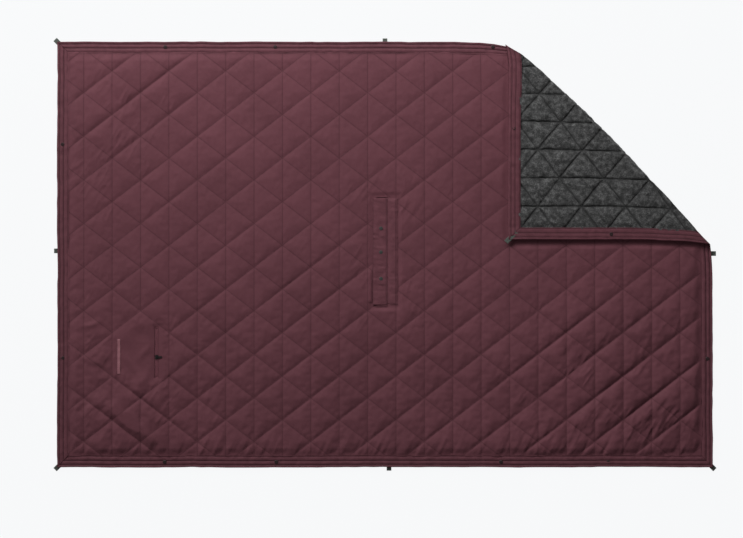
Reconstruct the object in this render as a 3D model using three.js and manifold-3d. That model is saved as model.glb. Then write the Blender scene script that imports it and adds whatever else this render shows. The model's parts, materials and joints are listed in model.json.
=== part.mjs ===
// Quilted camp blanket: a triangle-quilted nylon face, a lofted filling and a grey fleece back inside a
// stitched border, laid flat with one corner folded over its face. It has a snapped neck opening in the
// middle, a zipped pocket, press studs and webbing loops round the border.
// Millimetres. +X runs along the long side, +Y along the short side, +Z is up off the ground.
import * as THREE from 'three';
import { mergeVertices } from 'three/addons/utils/BufferGeometryUtils.js';
import Module from 'manifold-3d';

// ---- driving dimensions -------------------------------------------------------------------------------

const LENGTH = 1956;
const WIDTH = 1270;
const BAND = 36; // width of the stitched border
const GAP = 0.3; // clearance kept between neighbouring pieces
const MITRE = 0.2; // half clearance at a mitred or folded cut, measured along an edge

// heights of the three layers, flat on the ground
const FLEECE_TOP = 5.0;
const FILL_BOTTOM = FLEECE_TOP + GAP;
const FILL_TOP = 9.0;
const FACE_BOTTOM = FILL_TOP + GAP;
const SEAM_TOP = 9.9; // face height on a quilting seam
const PUFF_TOP = 11.1; // face height in the middle of a quilted triangle
const FLEECE_SEAM_DEPTH = 1.8; // how far a seam sinks into the fleece that shows on the folded corner

// the quilting: vertical seams, and diagonals that cross them at every half pitch
const SEAM_FIRST_X = -898;
const SEAM_PITCH_X = 84.6;
const SEAM_PITCH_Y = 130;
const SEAM_FIRST_Y = 482.5; // a crossing on the first vertical seam
const COLUMNS = { first: -2, last: 24 };
const ROWS = { first: -3, last: 11 };
const PLAIN_CROSSING = [2, 6]; // the crossing left without seams, in the middle of the pocket's panel

// the folded corner
const FOLD_SUM = 1012; // the fold line is x + y = FOLD_SUM
const FOLD_CUT = 0.25; // half clearance across the fold line, measured in x + y
const FOLD_HEIGHT = 11.5; // height of the fold's axis
const ROLL_OUTER = 11.3; // the fleece carried round the outside of the fold
const ROLL_INNER = 6.6;

// press studs and loops along the border
const SNAP_INSET = 16.5;
const TOP_SNAPS = [-655, -327, 322, 647];
const BOTTOM_SNAPS = [-657, -324, 346, 666];
const LEFT_SNAPS = [328, -309];
const RIGHT_SNAPS = [329, -311];
const SNAP_HOLE_R = 2.6;
const LOOP = { width: 14, ply: 0.85, bottom: 0.3, top: 2.3, tuck: 34, reach: 10 };
const LOOP_SHIFTS = { top: 0, bottom: 12, left: 11, right: 3 }; // from the middle of each side

// the neck opening: a slit through all three layers, covered by a flap hinged on its sewn side
const NECK = { bottom: -150, top: 168, freeX: -36, hingeX: 7, facingX: 12, sewnX: 38 };
const SLIT = { halfWidth: 4.5, bottom: -138, top: 156, lining: 0.8 };
const FLAP = { bottom: 11.4, top: 12.4 };
const NECK_SNAP_X = -12;
const NECK_SNAP_YS = [78, 7, -72];

// the pocket and its zip, which runs along Y
const ZIP = { x: -680.5, y: -292, half: 79, slotHalf: 6, pitch: 4.8 };
const SLIDER_OFFSET = -13.6; // where the slider stands, from the middle of the zip
const POCKET = { left: -852, right: -660, bottom: -388, top: -196, floor: 6.8 };
const LABEL = { x: -793, y: -304, width: 9, length: 104 };

const ROUND = 12; // sides of a small round piece

// ---- materials ----------------------------------------------------------------------------------------

function matte(color, roughness, metalness = 0) {
  return new THREE.MeshStandardMaterial({ color, roughness, metalness });
}
const NYLON = matte(0x5c3a41, 0.62);
const BINDING = matte(0x532f38, 0.66);
const FLEECE = matte(0x565856, 0.95);
const FILLING = matte(0xd9d6d0, 0.9);
const WEBBING = matte(0x262a27, 0.85);
const SNAP_DARK = matte(0x23211f, 0.4);
const SNAP_GREY = matte(0x6d6f6a, 0.38, 0.4);
const ZIP_TAPE = matte(0x40262c, 0.8);
const ZIP_COIL = matte(0x1f1c1e, 0.5);
const ZIP_METAL = matte(0x1b1b1c, 0.35, 0.5);
const RIBBON = matte(0xc79aa2, 0.55);

// ---- solids and booleans ------------------------------------------------------------------------------

const wasm = await Module();
wasm.setup();

function toSolid(geometry) {
  const bare = geometry.clone();
  bare.deleteAttribute('normal');
  bare.deleteAttribute('uv');
  const merged = mergeVertices(bare, 1e-4);
  return new wasm.Manifold(new wasm.Mesh({
    numProp: 3,
    vertProperties: new Float32Array(merged.attributes.position.array),
    triVerts: new Uint32Array(merged.index.array),
  }));
}

function toGeometry(solid) {
  const mesh = solid.getMesh();
  const geometry = new THREE.BufferGeometry();
  geometry.setAttribute('position', new THREE.BufferAttribute(new Float32Array(mesh.vertProperties), 3));
  geometry.setIndex(new THREE.BufferAttribute(new Uint32Array(mesh.triVerts), 1));
  geometry.computeVertexNormals();
  return geometry;
}

function cut(geometry, tools) {
  return toGeometry(tools.reduce((solid, tool) => solid.subtract(toSolid(tool)), toSolid(geometry)));
}

function common(a, b) {
  return toGeometry(toSolid(a).intersect(toSolid(b)));
}

function join(pieces) {
  return toGeometry(pieces.map(toSolid).reduce((all, piece) => all.add(piece)));
}

// ---- plain shapes -------------------------------------------------------------------------------------

function outline(points) {
  return new THREE.Shape(points.map(([x, y]) => new THREE.Vector2(x, y)));
}

// a plan outline drawn up from z0 to z1
function slab(points, z0, z1) {
  const geometry = new THREE.ExtrudeGeometry(outline(points), { depth: z1 - z0, bevelEnabled: false });
  return geometry.translate(0, 0, z0);
}

function box(x0, x1, y0, y1, z0, z1) {
  const geometry = new THREE.BoxGeometry(x1 - x0, y1 - y0, z1 - z0);
  return geometry.translate((x0 + x1) / 2, (y0 + y1) / 2, (z0 + z1) / 2);
}

// an upright cylinder
function post(x, y, radius, z0, z1) {
  const geometry = new THREE.CylinderGeometry(radius, radius, z1 - z0, ROUND);
  return geometry.rotateX(Math.PI / 2).translate(x, y, (z0 + z1) / 2);
}

// points on an arc about [cx, cy]
function arc(cx, cy, radius, from, to, steps) {
  const points = [];
  for (let i = 0; i <= steps; i += 1) {
    const angle = from + ((to - from) * i) / steps;
    points.push([cx + radius * Math.cos(angle), cy + radius * Math.sin(angle)]);
  }
  return points;
}

// a turned piece standing on +Z, from [radius, height] points that start and end on the axis
function turned(profile) {
  const points = profile.map(([r, z]) => new THREE.Vector2(r, z));
  return new THREE.LatheGeometry(points, ROUND).rotateX(Math.PI / 2);
}

// a slot with round ends, long way along Y
function slot(x, y, halfWidth, halfLength, z0, z1) {
  const shape = new THREE.Shape();
  const straight = halfLength - halfWidth;
  shape.absarc(0, straight, halfWidth, 0, Math.PI);
  shape.absarc(0, -straight, halfWidth, Math.PI, 2 * Math.PI);
  const depth = z1 - z0;
  const geometry = new THREE.ExtrudeGeometry(shape, { depth, bevelEnabled: false, curveSegments: 5 });
  return geometry.translate(x, y, z0);
}

// a profile of [across, height] points, run along a horizontal line; `across` points along `inward`
function bar(profile, inward, middle, length) {
  const up = new THREE.Vector3(0, 0, 1);
  const along = new THREE.Vector3().crossVectors(inward, up);
  const start = middle.clone().addScaledVector(along, -length / 2);
  const geometry = new THREE.ExtrudeGeometry(outline(profile), { depth: length, bevelEnabled: false });
  return geometry.applyMatrix4(new THREE.Matrix4().makeBasis(inward, up, along).setPosition(start));
}

// ---- quilting -----------------------------------------------------------------------------------------

// Seams cross at [column, row]; odd columns are shifted up by half a pitch.
const isOdd = (column) => Math.abs(column % 2) === 1;
const crossingX = (column) => SEAM_FIRST_X + SEAM_PITCH_X * column;
const columnShift = (column) => (isOdd(column) ? SEAM_PITCH_Y / 2 : 0);
const crossingY = (column, row) => SEAM_FIRST_Y - SEAM_PITCH_Y * row + columnShift(column);

// every quilted triangle as three crossings, counter-clockwise seen from above
function quiltedTriangles() {
  const triangles = [];
  for (let column = COLUMNS.first; column < COLUMNS.last; column += 1) {
    for (let row = ROWS.first; row < ROWS.last; row += 1) {
      const left = [column, row];
      const leftBelow = [column, row + 1];
      const below = isOdd(column) ? row : row + 1;
      const rightBelow = [column + 1, below];
      const rightAbove = [column + 1, below - 1];
      triangles.push([left, rightBelow, rightAbove], [left, leftBelow, rightBelow]);
    }
  }
  return triangles;
}

// A closed block over the whole lattice: flat at `base`, `seam` high on the seams, `puff` high between.
function quiltBlock(base, seam, puff) {
  const positions = [];
  const isPlain = ([column, row]) => column === PLAIN_CROSSING[0] && row === PLAIN_CROSSING[1];
  const at = ([column, row], z) => [crossingX(column), crossingY(column, row), z];
  const top = (crossing) => at(crossing, isPlain(crossing) ? puff : seam);
  const face = (a, b, c) => positions.push(...a, ...b, ...c);
  const edges = new Map();
  for (const corners of quiltedTriangles()) {
    const middle = [0, 1].map((i) => corners.reduce((sum, corner) => sum + top(corner)[i], 0) / 3);
    corners.forEach((corner, i) => {
      const next = corners[(i + 1) % 3];
      face(top(corner), top(next), [...middle, puff]);
      if (!edges.delete(`${next}>${corner}`)) edges.set(`${corner}>${next}`, [corner, next]);
    });
    face(at(corners[2], base), at(corners[1], base), at(corners[0], base));
  }
  for (const [a, b] of edges.values()) {
    face(at(a, base), at(b, base), top(b));
    face(at(a, base), top(b), top(a));
  }
  const geometry = new THREE.BufferGeometry();
  return geometry.setAttribute('position', new THREE.BufferAttribute(new Float32Array(positions), 3));
}

// the same block upside down: quilted below, flat on top
function turnOver(geometry) {
  const { array } = geometry.attributes.position;
  for (let i = 0; i < array.length; i += 9) {
    const second = array.slice(i + 3, i + 6);
    array.copyWithin(i + 3, i + 6, i + 9);
    array.set(second, i + 6);
  }
  return geometry.scale(1, 1, -1);
}

// ---- plan outlines ------------------------------------------------------------------------------------

const HALF_L = LENGTH / 2;
const HALF_W = WIDTH / 2;
const INNER_X = HALF_L - BAND - GAP;
const INNER_Y = HALF_W - BAND - GAP;
const SPILL = 5; // how far a cutting outline runs past the piece that it trims

// the layers inside the border, on the side of the fold that stays on the ground
function mainOutline() {
  const sum = FOLD_SUM - FOLD_CUT;
  return [
    [-INNER_X, -INNER_Y],
    [INNER_X, -INNER_Y],
    [INNER_X, sum - INNER_X],
    [sum - INNER_Y, INNER_Y],
    [-INNER_X, INNER_Y],
  ];
}

// the layers inside the border on the folded corner, as they lie when it is opened flat
function cornerOutline() {
  const sum = FOLD_SUM + FOLD_CUT;
  return [[sum - INNER_Y, INNER_Y], [INNER_X, sum - INNER_X], [INNER_X, INNER_Y]];
}

// ---- border -------------------------------------------------------------------------------------------

// [inset, height] round the binding: three stitched grooves with soft ridges between, above and below
const BAND_PROFILE = [
  [0, 4.2], [1.5, 3.2], [4, 2.8], [8, 3.2], [14, 2.6], [20, 3.1], [27, 2.6], [33.5, 3.2], [BAND, 3.0],
  [BAND, 9.0], [33.5, 8.5], [27, 9.7], [20, 8.4], [14, 9.5], [8, 8.2], [4, 9.0], [1.5, 8.4], [0, 7.2],
];

const X_AXIS = new THREE.Vector3(1, 0, 0);
const Y_AXIS = new THREE.Vector3(0, 1, 0);
const SIDES = {
  left: { inward: X_AXIS, middle: new THREE.Vector3(-HALF_L, 0, 0) },
  right: { inward: X_AXIS.clone().negate(), middle: new THREE.Vector3(HALF_L, 0, 0) },
  bottom: { inward: Y_AXIS, middle: new THREE.Vector3(0, -HALF_W, 0) },
  top: { inward: Y_AXIS.clone().negate(), middle: new THREE.Vector3(0, HALF_W, 0) },
};

// One length of binding. `ends` gives where its two cut lines cross the outer edge, and how far each
// line moves along the edge for every millimetre inwards.
function binding(side, ends, holes) {
  const { inward, middle } = SIDES[side];
  const along = side === 'left' || side === 'right' ? Y_AXIS : X_AXIS;
  const corner = (end, inset) => {
    const point = middle.clone().addScaledVector(inward, inset);
    point.addScaledVector(along, end.at + end.slope * inset);
    return [point.x, point.y];
  };
  const trim = [
    corner(ends[0], -SPILL),
    corner(ends[1], -SPILL),
    corner(ends[1], BAND + SPILL),
    corner(ends[0], BAND + SPILL),
  ];
  const strip = common(bar(BAND_PROFILE, inward, middle, 2 * LENGTH), slab(trim, 0, 2 * FOLD_HEIGHT));
  return cut(strip, holes.map(([x, y]) => post(x, y, SNAP_HOLE_R, 0, 2 * FOLD_HEIGHT)));
}

const snapPlaces = {
  top: TOP_SNAPS.map((x) => [x, HALF_W - SNAP_INSET]),
  bottom: BOTTOM_SNAPS.map((x) => [x, -HALF_W + SNAP_INSET]),
  left: LEFT_SNAPS.map((y) => [-HALF_L + SNAP_INSET, y]),
  right: RIGHT_SNAPS.map((y) => [HALF_L - SNAP_INSET, y]),
};
const onCorner = ([x, y]) => x + y > FOLD_SUM;
const cornerSnaps = (side) => snapPlaces[side].filter(onCorner);
const mainSnaps = (side) => snapPlaces[side].filter((place) => !onCorner(place));

// where the fold line meets the outer edge of the top and of the right side
const FOLD_ON_TOP = FOLD_SUM - HALF_W;
const FOLD_ON_RIGHT = FOLD_SUM - HALF_L;

const mitreStart = (half) => ({ at: -half + MITRE, slope: 1 });
const mitreEnd = (half) => ({ at: half - MITRE, slope: -1 });

function mainBindings() {
  const beforeFold = (at) => ({ at: at - FOLD_CUT, slope: 1 });
  return {
    binding_left: binding('left', [mitreStart(HALF_W), mitreEnd(HALF_W)], snapPlaces.left),
    binding_bottom: binding('bottom', [mitreStart(HALF_L), mitreEnd(HALF_L)], snapPlaces.bottom),
    binding_top: binding('top', [mitreStart(HALF_L), beforeFold(FOLD_ON_TOP)], mainSnaps('top')),
    binding_right: binding('right', [mitreStart(HALF_W), beforeFold(FOLD_ON_RIGHT)], mainSnaps('right')),
  };
}

function cornerBindings() {
  const afterFold = (at) => ({ at: at + FOLD_CUT, slope: 1 });
  const top = binding('top', [afterFold(FOLD_ON_TOP), mitreEnd(HALF_L)], cornerSnaps('top'));
  const right = binding('right', [afterFold(FOLD_ON_RIGHT), mitreEnd(HALF_W)], cornerSnaps('right'));
  return { corner_binding_top: top, corner_binding_right: right };
}

// a cap on the face and a socket on the back, riveted through the border
const SNAP_PROFILE = [
  [0, 1.6], [2.3, 1.6], [2.7, 0.8], [5, 1.0], [5, 2.2],
  [2.1, 2.3], [2.1, 9.8], [5.2, 9.9], [4.1, 10.9], [0, 11.1],
];

// a strip of webbing folded double, sewn under the border with its fold past the edge
function webbingLoop() {
  const { ply, bottom, top, tuck, reach, width } = LOOP;
  const radius = (top - bottom) / 2;
  const height = bottom + radius;
  const quarter = Math.PI / 2;
  const profile = [
    [-tuck, bottom],
    ...arc(reach - radius, height, radius, -quarter, quarter, 6),
    [-tuck, top],
    [-tuck, top - ply],
    ...arc(reach - radius, height, radius - ply, quarter, -quarter, 4),
    [-tuck, bottom + ply],
  ];
  const depth = { depth: width, bevelEnabled: false };
  const strip = new THREE.ExtrudeGeometry(outline(profile), depth);
  return strip.translate(0, 0, -width / 2).rotateX(Math.PI / 2);
}

// ---- the three layers ---------------------------------------------------------------------------------

const slitCut = (z0, z1) => {
  const halfLength = (SLIT.top - SLIT.bottom) / 2;
  return slot(0, (SLIT.top + SLIT.bottom) / 2, SLIT.halfWidth, halfLength, z0, z1);
};

function faceShell() {
  const quilt = quiltBlock(FACE_BOTTOM - SPILL, SEAM_TOP, PUFF_TOP);
  const shell = common(quilt, slab(mainOutline(), FACE_BOTTOM, PUFF_TOP + SPILL));
  const studHoles = NECK_SNAP_YS.map((y) => post(NECK_SNAP_X, y, 5.4, 0, PUFF_TOP + SPILL));
  const zipSlot = slot(ZIP.x, ZIP.y, ZIP.slotHalf, ZIP.half, 0, PUFF_TOP + SPILL);
  return cut(shell, [slitCut(0, PUFF_TOP + SPILL), zipSlot, ...studHoles]);
}

function insulation() {
  const { left, right, bottom, top, floor } = POCKET;
  const recess = box(left, right, bottom, top, floor, FILL_TOP + SPILL);
  return cut(slab(mainOutline(), FILL_BOTTOM, FILL_TOP), [slitCut(0, FILL_TOP + SPILL), recess]);
}

const fleeceBacking = () => cut(slab(mainOutline(), 0, FLEECE_TOP), [slitCut(-SPILL, FLEECE_TOP + SPILL)]);

function cornerFace() {
  const quilt = quiltBlock(FACE_BOTTOM - SPILL, SEAM_TOP, PUFF_TOP);
  return common(quilt, slab(cornerOutline(), FACE_BOTTOM, PUFF_TOP + SPILL));
}

function cornerFleece() {
  const quilt = turnOver(quiltBlock(-FLEECE_TOP - SPILL, -FLEECE_SEAM_DEPTH, 0));
  return common(quilt, slab(cornerOutline(), -SPILL, FLEECE_TOP));
}

// ---- the roll round the outside of the fold -----------------------------------------------------------

const FOLD_NORMAL = new THREE.Vector3(1, 1, 0).normalize();
const FOLD_MIDDLE = new THREE.Vector3((FOLD_ON_TOP + HALF_L) / 2, (FOLD_ON_RIGHT + HALF_W) / 2, 0);
const FOLD_LENGTH = Math.SQRT2 * (HALF_L - FOLD_ON_TOP);

// `from` and `to` run along the fold line, measured from its middle towards the right side
function roll(from, to) {
  const quarter = Math.PI / 2;
  const profile = [
    ...arc(GAP, FOLD_HEIGHT, ROLL_OUTER, -quarter, quarter, 12),
    ...arc(GAP, FOLD_HEIGHT, ROLL_INNER, quarter, -quarter, 8),
  ];
  const along = new THREE.Vector3(FOLD_NORMAL.x, -FOLD_NORMAL.y, 0);
  const middle = FOLD_MIDDLE.clone().addScaledVector(along, (from + to) / 2);
  const tube = bar(profile, FOLD_NORMAL, middle, to - from);
  return common(tube, box(-HALF_L, HALF_L, -HALF_W, HALF_W, -SPILL, 3 * FOLD_HEIGHT));
}

function rolls() {
  const end = FOLD_LENGTH / 2;
  const seam = end - Math.SQRT2 * BAND;
  return {
    fold_roll_binding_top: [roll(-end, -seam - GAP), BINDING],
    fold_roll_fleece: [roll(-seam, seam), FLEECE],
    fold_roll_binding_right: [roll(seam + GAP, end), BINDING],
  };
}

// ---- neck opening -------------------------------------------------------------------------------------

const NECK_LENGTH = NECK.top - NECK.bottom;
const NECK_MIDDLE = (NECK.top + NECK.bottom) / 2;

function neckFlap() {
  const reach = NECK.hingeX - 2 - NECK.freeX;
  const hem = FLAP.top + 0.2;
  const profile = [
    [0, FLAP.bottom], [reach, FLAP.bottom], [reach, FLAP.top], [reach - 1.5, hem],
    [reach - 6, hem], [reach - 8, FLAP.top], [0, FLAP.top],
  ];
  const edge = new THREE.Vector3(NECK.hingeX - 2, NECK_MIDDLE, 0);
  const panel = bar(profile, X_AXIS.clone().negate(), edge, NECK_LENGTH);
  return cut(panel, NECK_SNAP_YS.map((y) => post(NECK_SNAP_X, y, 3.5, 0, 2 * FLAP.top)));
}

function neckFacing() {
  const width = NECK.sewnX - NECK.facingX;
  const crown = FLAP.bottom + 0.6;
  const shoulder = crown - 0.2;
  const profile = [
    [0, FLAP.bottom], [width, FLAP.bottom], [width, shoulder], [width / 2, crown], [0, shoulder],
  ];
  return bar(profile, X_AXIS, new THREE.Vector3(NECK.facingX, NECK_MIDDLE, 0), NECK_LENGTH);
}

function slitLining() {
  const middle = (SLIT.top + SLIT.bottom) / 2;
  const halfLength = (SLIT.top - SLIT.bottom) / 2 - GAP;
  const halfWidth = SLIT.halfWidth - GAP;
  const wall = slot(0, middle, halfWidth, halfLength, GAP, PUFF_TOP - GAP);
  const hole = slot(0, middle, halfWidth - SLIT.lining, halfLength - SLIT.lining, -SPILL, PUFF_TOP + SPILL);
  return cut(wall, [hole]);
}

const NECK_CAP_PROFILE = [
  [0, 12.5], [1.8, 12.5], [1.8, 11.0], [3.2, 11.0], [3.2, 12.8],
  [5.2, 12.8], [5.2, 13.2], [4.1, 13.8], [0, 14.1],
];
const NECK_STUD_PROFILE = [
  [0, 9.4], [5, 9.4], [5, 10.2], [4, 10.5], [1.6, 10.5], [1.3, 10.9], [1.4, 11.8], [0, 12.1],
];

// ---- pocket and zip -----------------------------------------------------------------------------------

function pocketBag() {
  const { left, right, bottom, top, floor } = POCKET;
  return box(left + GAP, right - GAP, bottom + GAP, top - GAP, floor + GAP, floor + 2 * GAP + 0.2);
}

const ZIP_STOP = { outer: ZIP.half - 3, inner: ZIP.half - 5.5, halfWidth: 3.4 };
const TAPE = { inner: 0.3, outer: 13, bottom: 8.3, top: FILL_TOP };
const COIL = { bottom: 9.3, top: 10.6, spineOuter: 3.2, spineInner: 2.2, tip: -1.2, halfTooth: 1 };

// one row of teeth on the +X side; its mirror image meshes with it half a pitch along
function zipTeeth() {
  const run = ZIP_STOP.inner - 1;
  const points = [[COIL.spineOuter, -run], [COIL.spineOuter, run]];
  const count = Math.floor((2 * run - ZIP.pitch) / ZIP.pitch);
  points.push([COIL.spineInner, run]);
  for (let i = count - 1; i >= 0; i -= 1) {
    const y = (i - (count - 1) / 2) * ZIP.pitch + ZIP.pitch / 4;
    points.push([COIL.spineInner, y + COIL.halfTooth], [COIL.tip, y + COIL.halfTooth - 0.2]);
    points.push([COIL.tip, y - COIL.halfTooth + 0.2], [COIL.spineInner, y - COIL.halfTooth]);
  }
  points.push([COIL.spineInner, -run]);
  return slab(points.reverse(), COIL.bottom, COIL.top);
}

function zipTape() {
  return box(TAPE.inner, TAPE.outer, -ZIP.half - 4, ZIP.half + 4, TAPE.bottom, TAPE.top);
}

function zipStop() {
  const { outer, inner, halfWidth } = ZIP_STOP;
  return box(-halfWidth, halfWidth, inner, outer, COIL.bottom, COIL.top + 0.4);
}

// a channel over the teeth, with two lugs and a pin for the pull
const SLIDER = {
  half: 6, outer: 4.6, inner: 3.6, foot: 9.4, roof: 10.9, top: 12, lug: 2.4, pinHeight: 13.8, pinR: 0.5,
};

function slider() {
  const { half, outer, inner, foot, roof, top, lug, pinHeight, pinR } = SLIDER;
  const profile = [
    [-outer, foot], [-inner, foot], [-inner, roof], [inner, roof], [inner, foot], [outer, foot],
    [outer, top - 0.7], [outer - 1, top], [1 - outer, top], [-outer, top - 0.7],
  ];
  const body = bar(profile, X_AXIS, new THREE.Vector3(0, 0, 0), 2 * half);
  const lugAt = (y0, y1) => box(-1.1, 1.1, y0, y1, top - 0.4, pinHeight + 0.8);
  const pin = new THREE.CylinderGeometry(pinR, pinR, 2 * lug + 1, ROUND).translate(0, 0, pinHeight);
  return join([body, lugAt(lug, lug + 1.2), lugAt(-lug - 1.2, -lug), pin]);
}

function pull() {
  const width = SLIDER.lug - GAP;
  const half = 0.45;
  const ring = new THREE.CylinderGeometry(1.5, 1.5, 2 * width, ROUND);
  const eye = new THREE.CylinderGeometry(0.85, 0.85, 4 * width, ROUND);
  const plan = new THREE.Shape();
  plan.moveTo(1.1, -width);
  plan.lineTo(13, -width - 0.5);
  plan.absarc(13, 0, width + 0.5, -Math.PI / 2, Math.PI / 2);
  plan.lineTo(1.1, width);
  const tab = new THREE.ExtrudeGeometry(plan, { depth: 2 * half, bevelEnabled: false, curveSegments: 6 });
  return cut(join([ring, tab.translate(0, 0, -half)]), [eye]);
}

// ---- the scene ----------------------------------------------------------------------------------------

const blanket = new THREE.Group();

// The corner's pieces are built as they lie opened flat, inside a group turned over about the fold line.
const foldPivot = new THREE.Group();
foldPivot.position.set(FOLD_SUM / 2, FOLD_SUM / 2, FOLD_HEIGHT);
foldPivot.setRotationFromAxisAngle(new THREE.Vector3(-1, 1, 0).normalize(), Math.PI);
const corner = new THREE.Group();
corner.position.copy(foldPivot.position).negate();
foldPivot.add(corner);
blanket.add(foldPivot);

function add(parent, name, geometry, material, x = 0, y = 0, z = 0, turn = 0) {
  const mesh = new THREE.Mesh(geometry, material);
  mesh.name = name;
  mesh.position.set(x, y, z);
  mesh.rotation.z = turn;
  parent.add(mesh);
}

function addLayers() {
  add(blanket, 'face_shell', faceShell(), NYLON);
  add(blanket, 'insulation', insulation(), FILLING);
  add(blanket, 'fleece_backing', fleeceBacking(), FLEECE);
  add(corner, 'corner_face_shell', cornerFace(), NYLON);
  add(corner, 'corner_insulation', slab(cornerOutline(), FILL_BOTTOM, FILL_TOP), FILLING);
  add(corner, 'corner_fleece', cornerFleece(), FLEECE);
  for (const [name, [geometry, material]] of Object.entries(rolls())) {
    add(blanket, name, geometry, material);
  }
}

function addBorder() {
  for (const [name, geometry] of Object.entries(mainBindings())) add(blanket, name, geometry, BINDING);
  for (const [name, geometry] of Object.entries(cornerBindings())) add(corner, name, geometry, BINDING);
  for (const [side, places] of Object.entries(snapPlaces)) {
    places.forEach((place, i) => {
      const parent = onCorner(place) ? corner : blanket;
      add(parent, `snap_${side}_${i + 1}`, turned(SNAP_PROFILE), SNAP_DARK, ...place);
    });
  }
}

function addLoops() {
  const quarter = Math.PI / 2;
  const { top, bottom, left, right } = LOOP_SHIFTS;
  const places = {
    mid_right: [HALF_L, right, 0],
    corner_top_right: [HALF_L, HALF_W, quarter / 2],
    mid_top: [top, HALF_W, quarter],
    corner_top_left: [-HALF_L, HALF_W, 1.5 * quarter],
    mid_left: [-HALF_L, left, 2 * quarter],
    corner_bottom_left: [-HALF_L, -HALF_W, 2.5 * quarter],
    mid_bottom: [bottom, -HALF_W, 3 * quarter],
    corner_bottom_right: [HALF_L, -HALF_W, 3.5 * quarter],
  };
  for (const [name, [x, y, turn]] of Object.entries(places)) {
    add(onCorner([x, y]) ? corner : blanket, `loop_${name}`, webbingLoop(), WEBBING, x, y, 0, turn);
  }
}

function addNeckOpening() {
  add(blanket, 'neck_slit_lining', slitLining(), BINDING);
  add(blanket, 'neck_facing', neckFacing(), NYLON);
  add(blanket, 'neck_flap', neckFlap(), NYLON);
  NECK_SNAP_YS.forEach((y, i) => {
    add(blanket, `neck_snap_cap_${i + 1}`, turned(NECK_CAP_PROFILE), SNAP_GREY, NECK_SNAP_X, y);
    add(blanket, `neck_snap_stud_${i + 1}`, turned(NECK_STUD_PROFILE), SNAP_GREY, NECK_SNAP_X, y);
  });
  const tack = box(-26, 6, -1.5, 1.5, FLAP.bottom, FLAP.bottom + 0.9);
  add(blanket, 'neck_tack_top', tack, BINDING, 0, NECK.top + 4);
  add(blanket, 'neck_tack_bottom', tack, BINDING, 0, NECK.bottom - 4);
}

function addPocket() {
  const { width, length } = LABEL;
  const mirrored = Math.PI;
  add(blanket, 'pocket_bag', pocketBag(), NYLON);
  add(blanket, 'zip_tape_right', zipTape(), ZIP_TAPE, ZIP.x, ZIP.y);
  add(blanket, 'zip_tape_left', zipTape(), ZIP_TAPE, ZIP.x, ZIP.y, 0, mirrored);
  add(blanket, 'zip_teeth_right', zipTeeth(), ZIP_COIL, ZIP.x, ZIP.y);
  add(blanket, 'zip_teeth_left', zipTeeth(), ZIP_COIL, ZIP.x, ZIP.y, 0, mirrored);
  add(blanket, 'zip_stop_top', zipStop(), ZIP_METAL, ZIP.x, ZIP.y);
  add(blanket, 'zip_stop_bottom', zipStop(), ZIP_METAL, ZIP.x, ZIP.y, 0, mirrored);
  add(blanket, 'zip_slider', slider(), ZIP_METAL, ZIP.x, ZIP.y + SLIDER_OFFSET);
  add(blanket, 'zip_pull', pull(), ZIP_METAL, ZIP.x, ZIP.y + SLIDER_OFFSET, SLIDER.pinHeight);
  const ribbon = box(-width / 2, width / 2, -length / 2, length / 2, FLAP.bottom, FLAP.bottom + 0.5);
  add(blanket, 'pocket_ribbon', ribbon, RIBBON, LABEL.x, LABEL.y);
}

addLayers();
addBorder();
addLoops();
addNeckOpening();
addPocket();

export default blanket;
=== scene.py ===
import json
import math

import bpy
import numpy as np
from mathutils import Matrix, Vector

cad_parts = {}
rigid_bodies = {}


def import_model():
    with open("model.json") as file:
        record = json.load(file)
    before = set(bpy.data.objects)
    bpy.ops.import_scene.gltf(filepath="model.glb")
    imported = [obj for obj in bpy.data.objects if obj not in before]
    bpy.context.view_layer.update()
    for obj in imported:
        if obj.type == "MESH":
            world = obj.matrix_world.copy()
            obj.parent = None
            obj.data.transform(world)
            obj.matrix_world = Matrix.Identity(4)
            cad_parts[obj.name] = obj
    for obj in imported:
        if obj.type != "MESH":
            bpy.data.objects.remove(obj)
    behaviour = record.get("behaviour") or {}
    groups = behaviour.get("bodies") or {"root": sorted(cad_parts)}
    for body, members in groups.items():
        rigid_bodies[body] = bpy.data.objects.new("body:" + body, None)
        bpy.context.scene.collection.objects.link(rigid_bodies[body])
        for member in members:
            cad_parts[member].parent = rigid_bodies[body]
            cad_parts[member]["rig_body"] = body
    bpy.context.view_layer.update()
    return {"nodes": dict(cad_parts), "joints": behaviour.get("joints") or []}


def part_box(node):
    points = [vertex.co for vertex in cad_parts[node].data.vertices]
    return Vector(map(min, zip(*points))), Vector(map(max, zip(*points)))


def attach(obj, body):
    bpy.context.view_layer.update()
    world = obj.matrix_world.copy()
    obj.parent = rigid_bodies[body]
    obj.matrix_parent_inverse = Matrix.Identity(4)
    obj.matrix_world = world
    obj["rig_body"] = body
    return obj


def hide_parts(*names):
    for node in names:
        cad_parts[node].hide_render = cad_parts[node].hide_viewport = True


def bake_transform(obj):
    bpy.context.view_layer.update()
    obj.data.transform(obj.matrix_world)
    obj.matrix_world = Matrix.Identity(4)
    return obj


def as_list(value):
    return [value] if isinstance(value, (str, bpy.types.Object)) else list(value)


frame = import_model()

# A quilted camp blanket laid flat with one corner folded over. Soft pieces are worked out in "flat"
# coordinates, metres, as the blanket lies with its corner open, and the corner is then turned over.

# ---- sizes ----

HALF_L = -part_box("binding_left")[0].x
HALF_W = -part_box("binding_bottom")[0].y
BAND = 0.036
LIP = 0.006                    # how far a layer runs in under the binding
EDGE_X = HALF_L - BAND + LIP
EDGE_Y = HALF_W - BAND + LIP

# the quilting lattice
SEAM_X = -0.898                # a crossing of all three sets of seams
SEAM_Y = 0.4825
PITCH_X = 0.0846
PITCH_Y = 0.130
SLOPE = PITCH_Y / 2 / PITCH_X
SLANT = math.cos(math.atan(SLOPE))
PANEL = (SEAM_X + 2 * PITCH_X, SEAM_Y - 6 * PITCH_Y)   # the crossing left plain for the pocket

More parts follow.
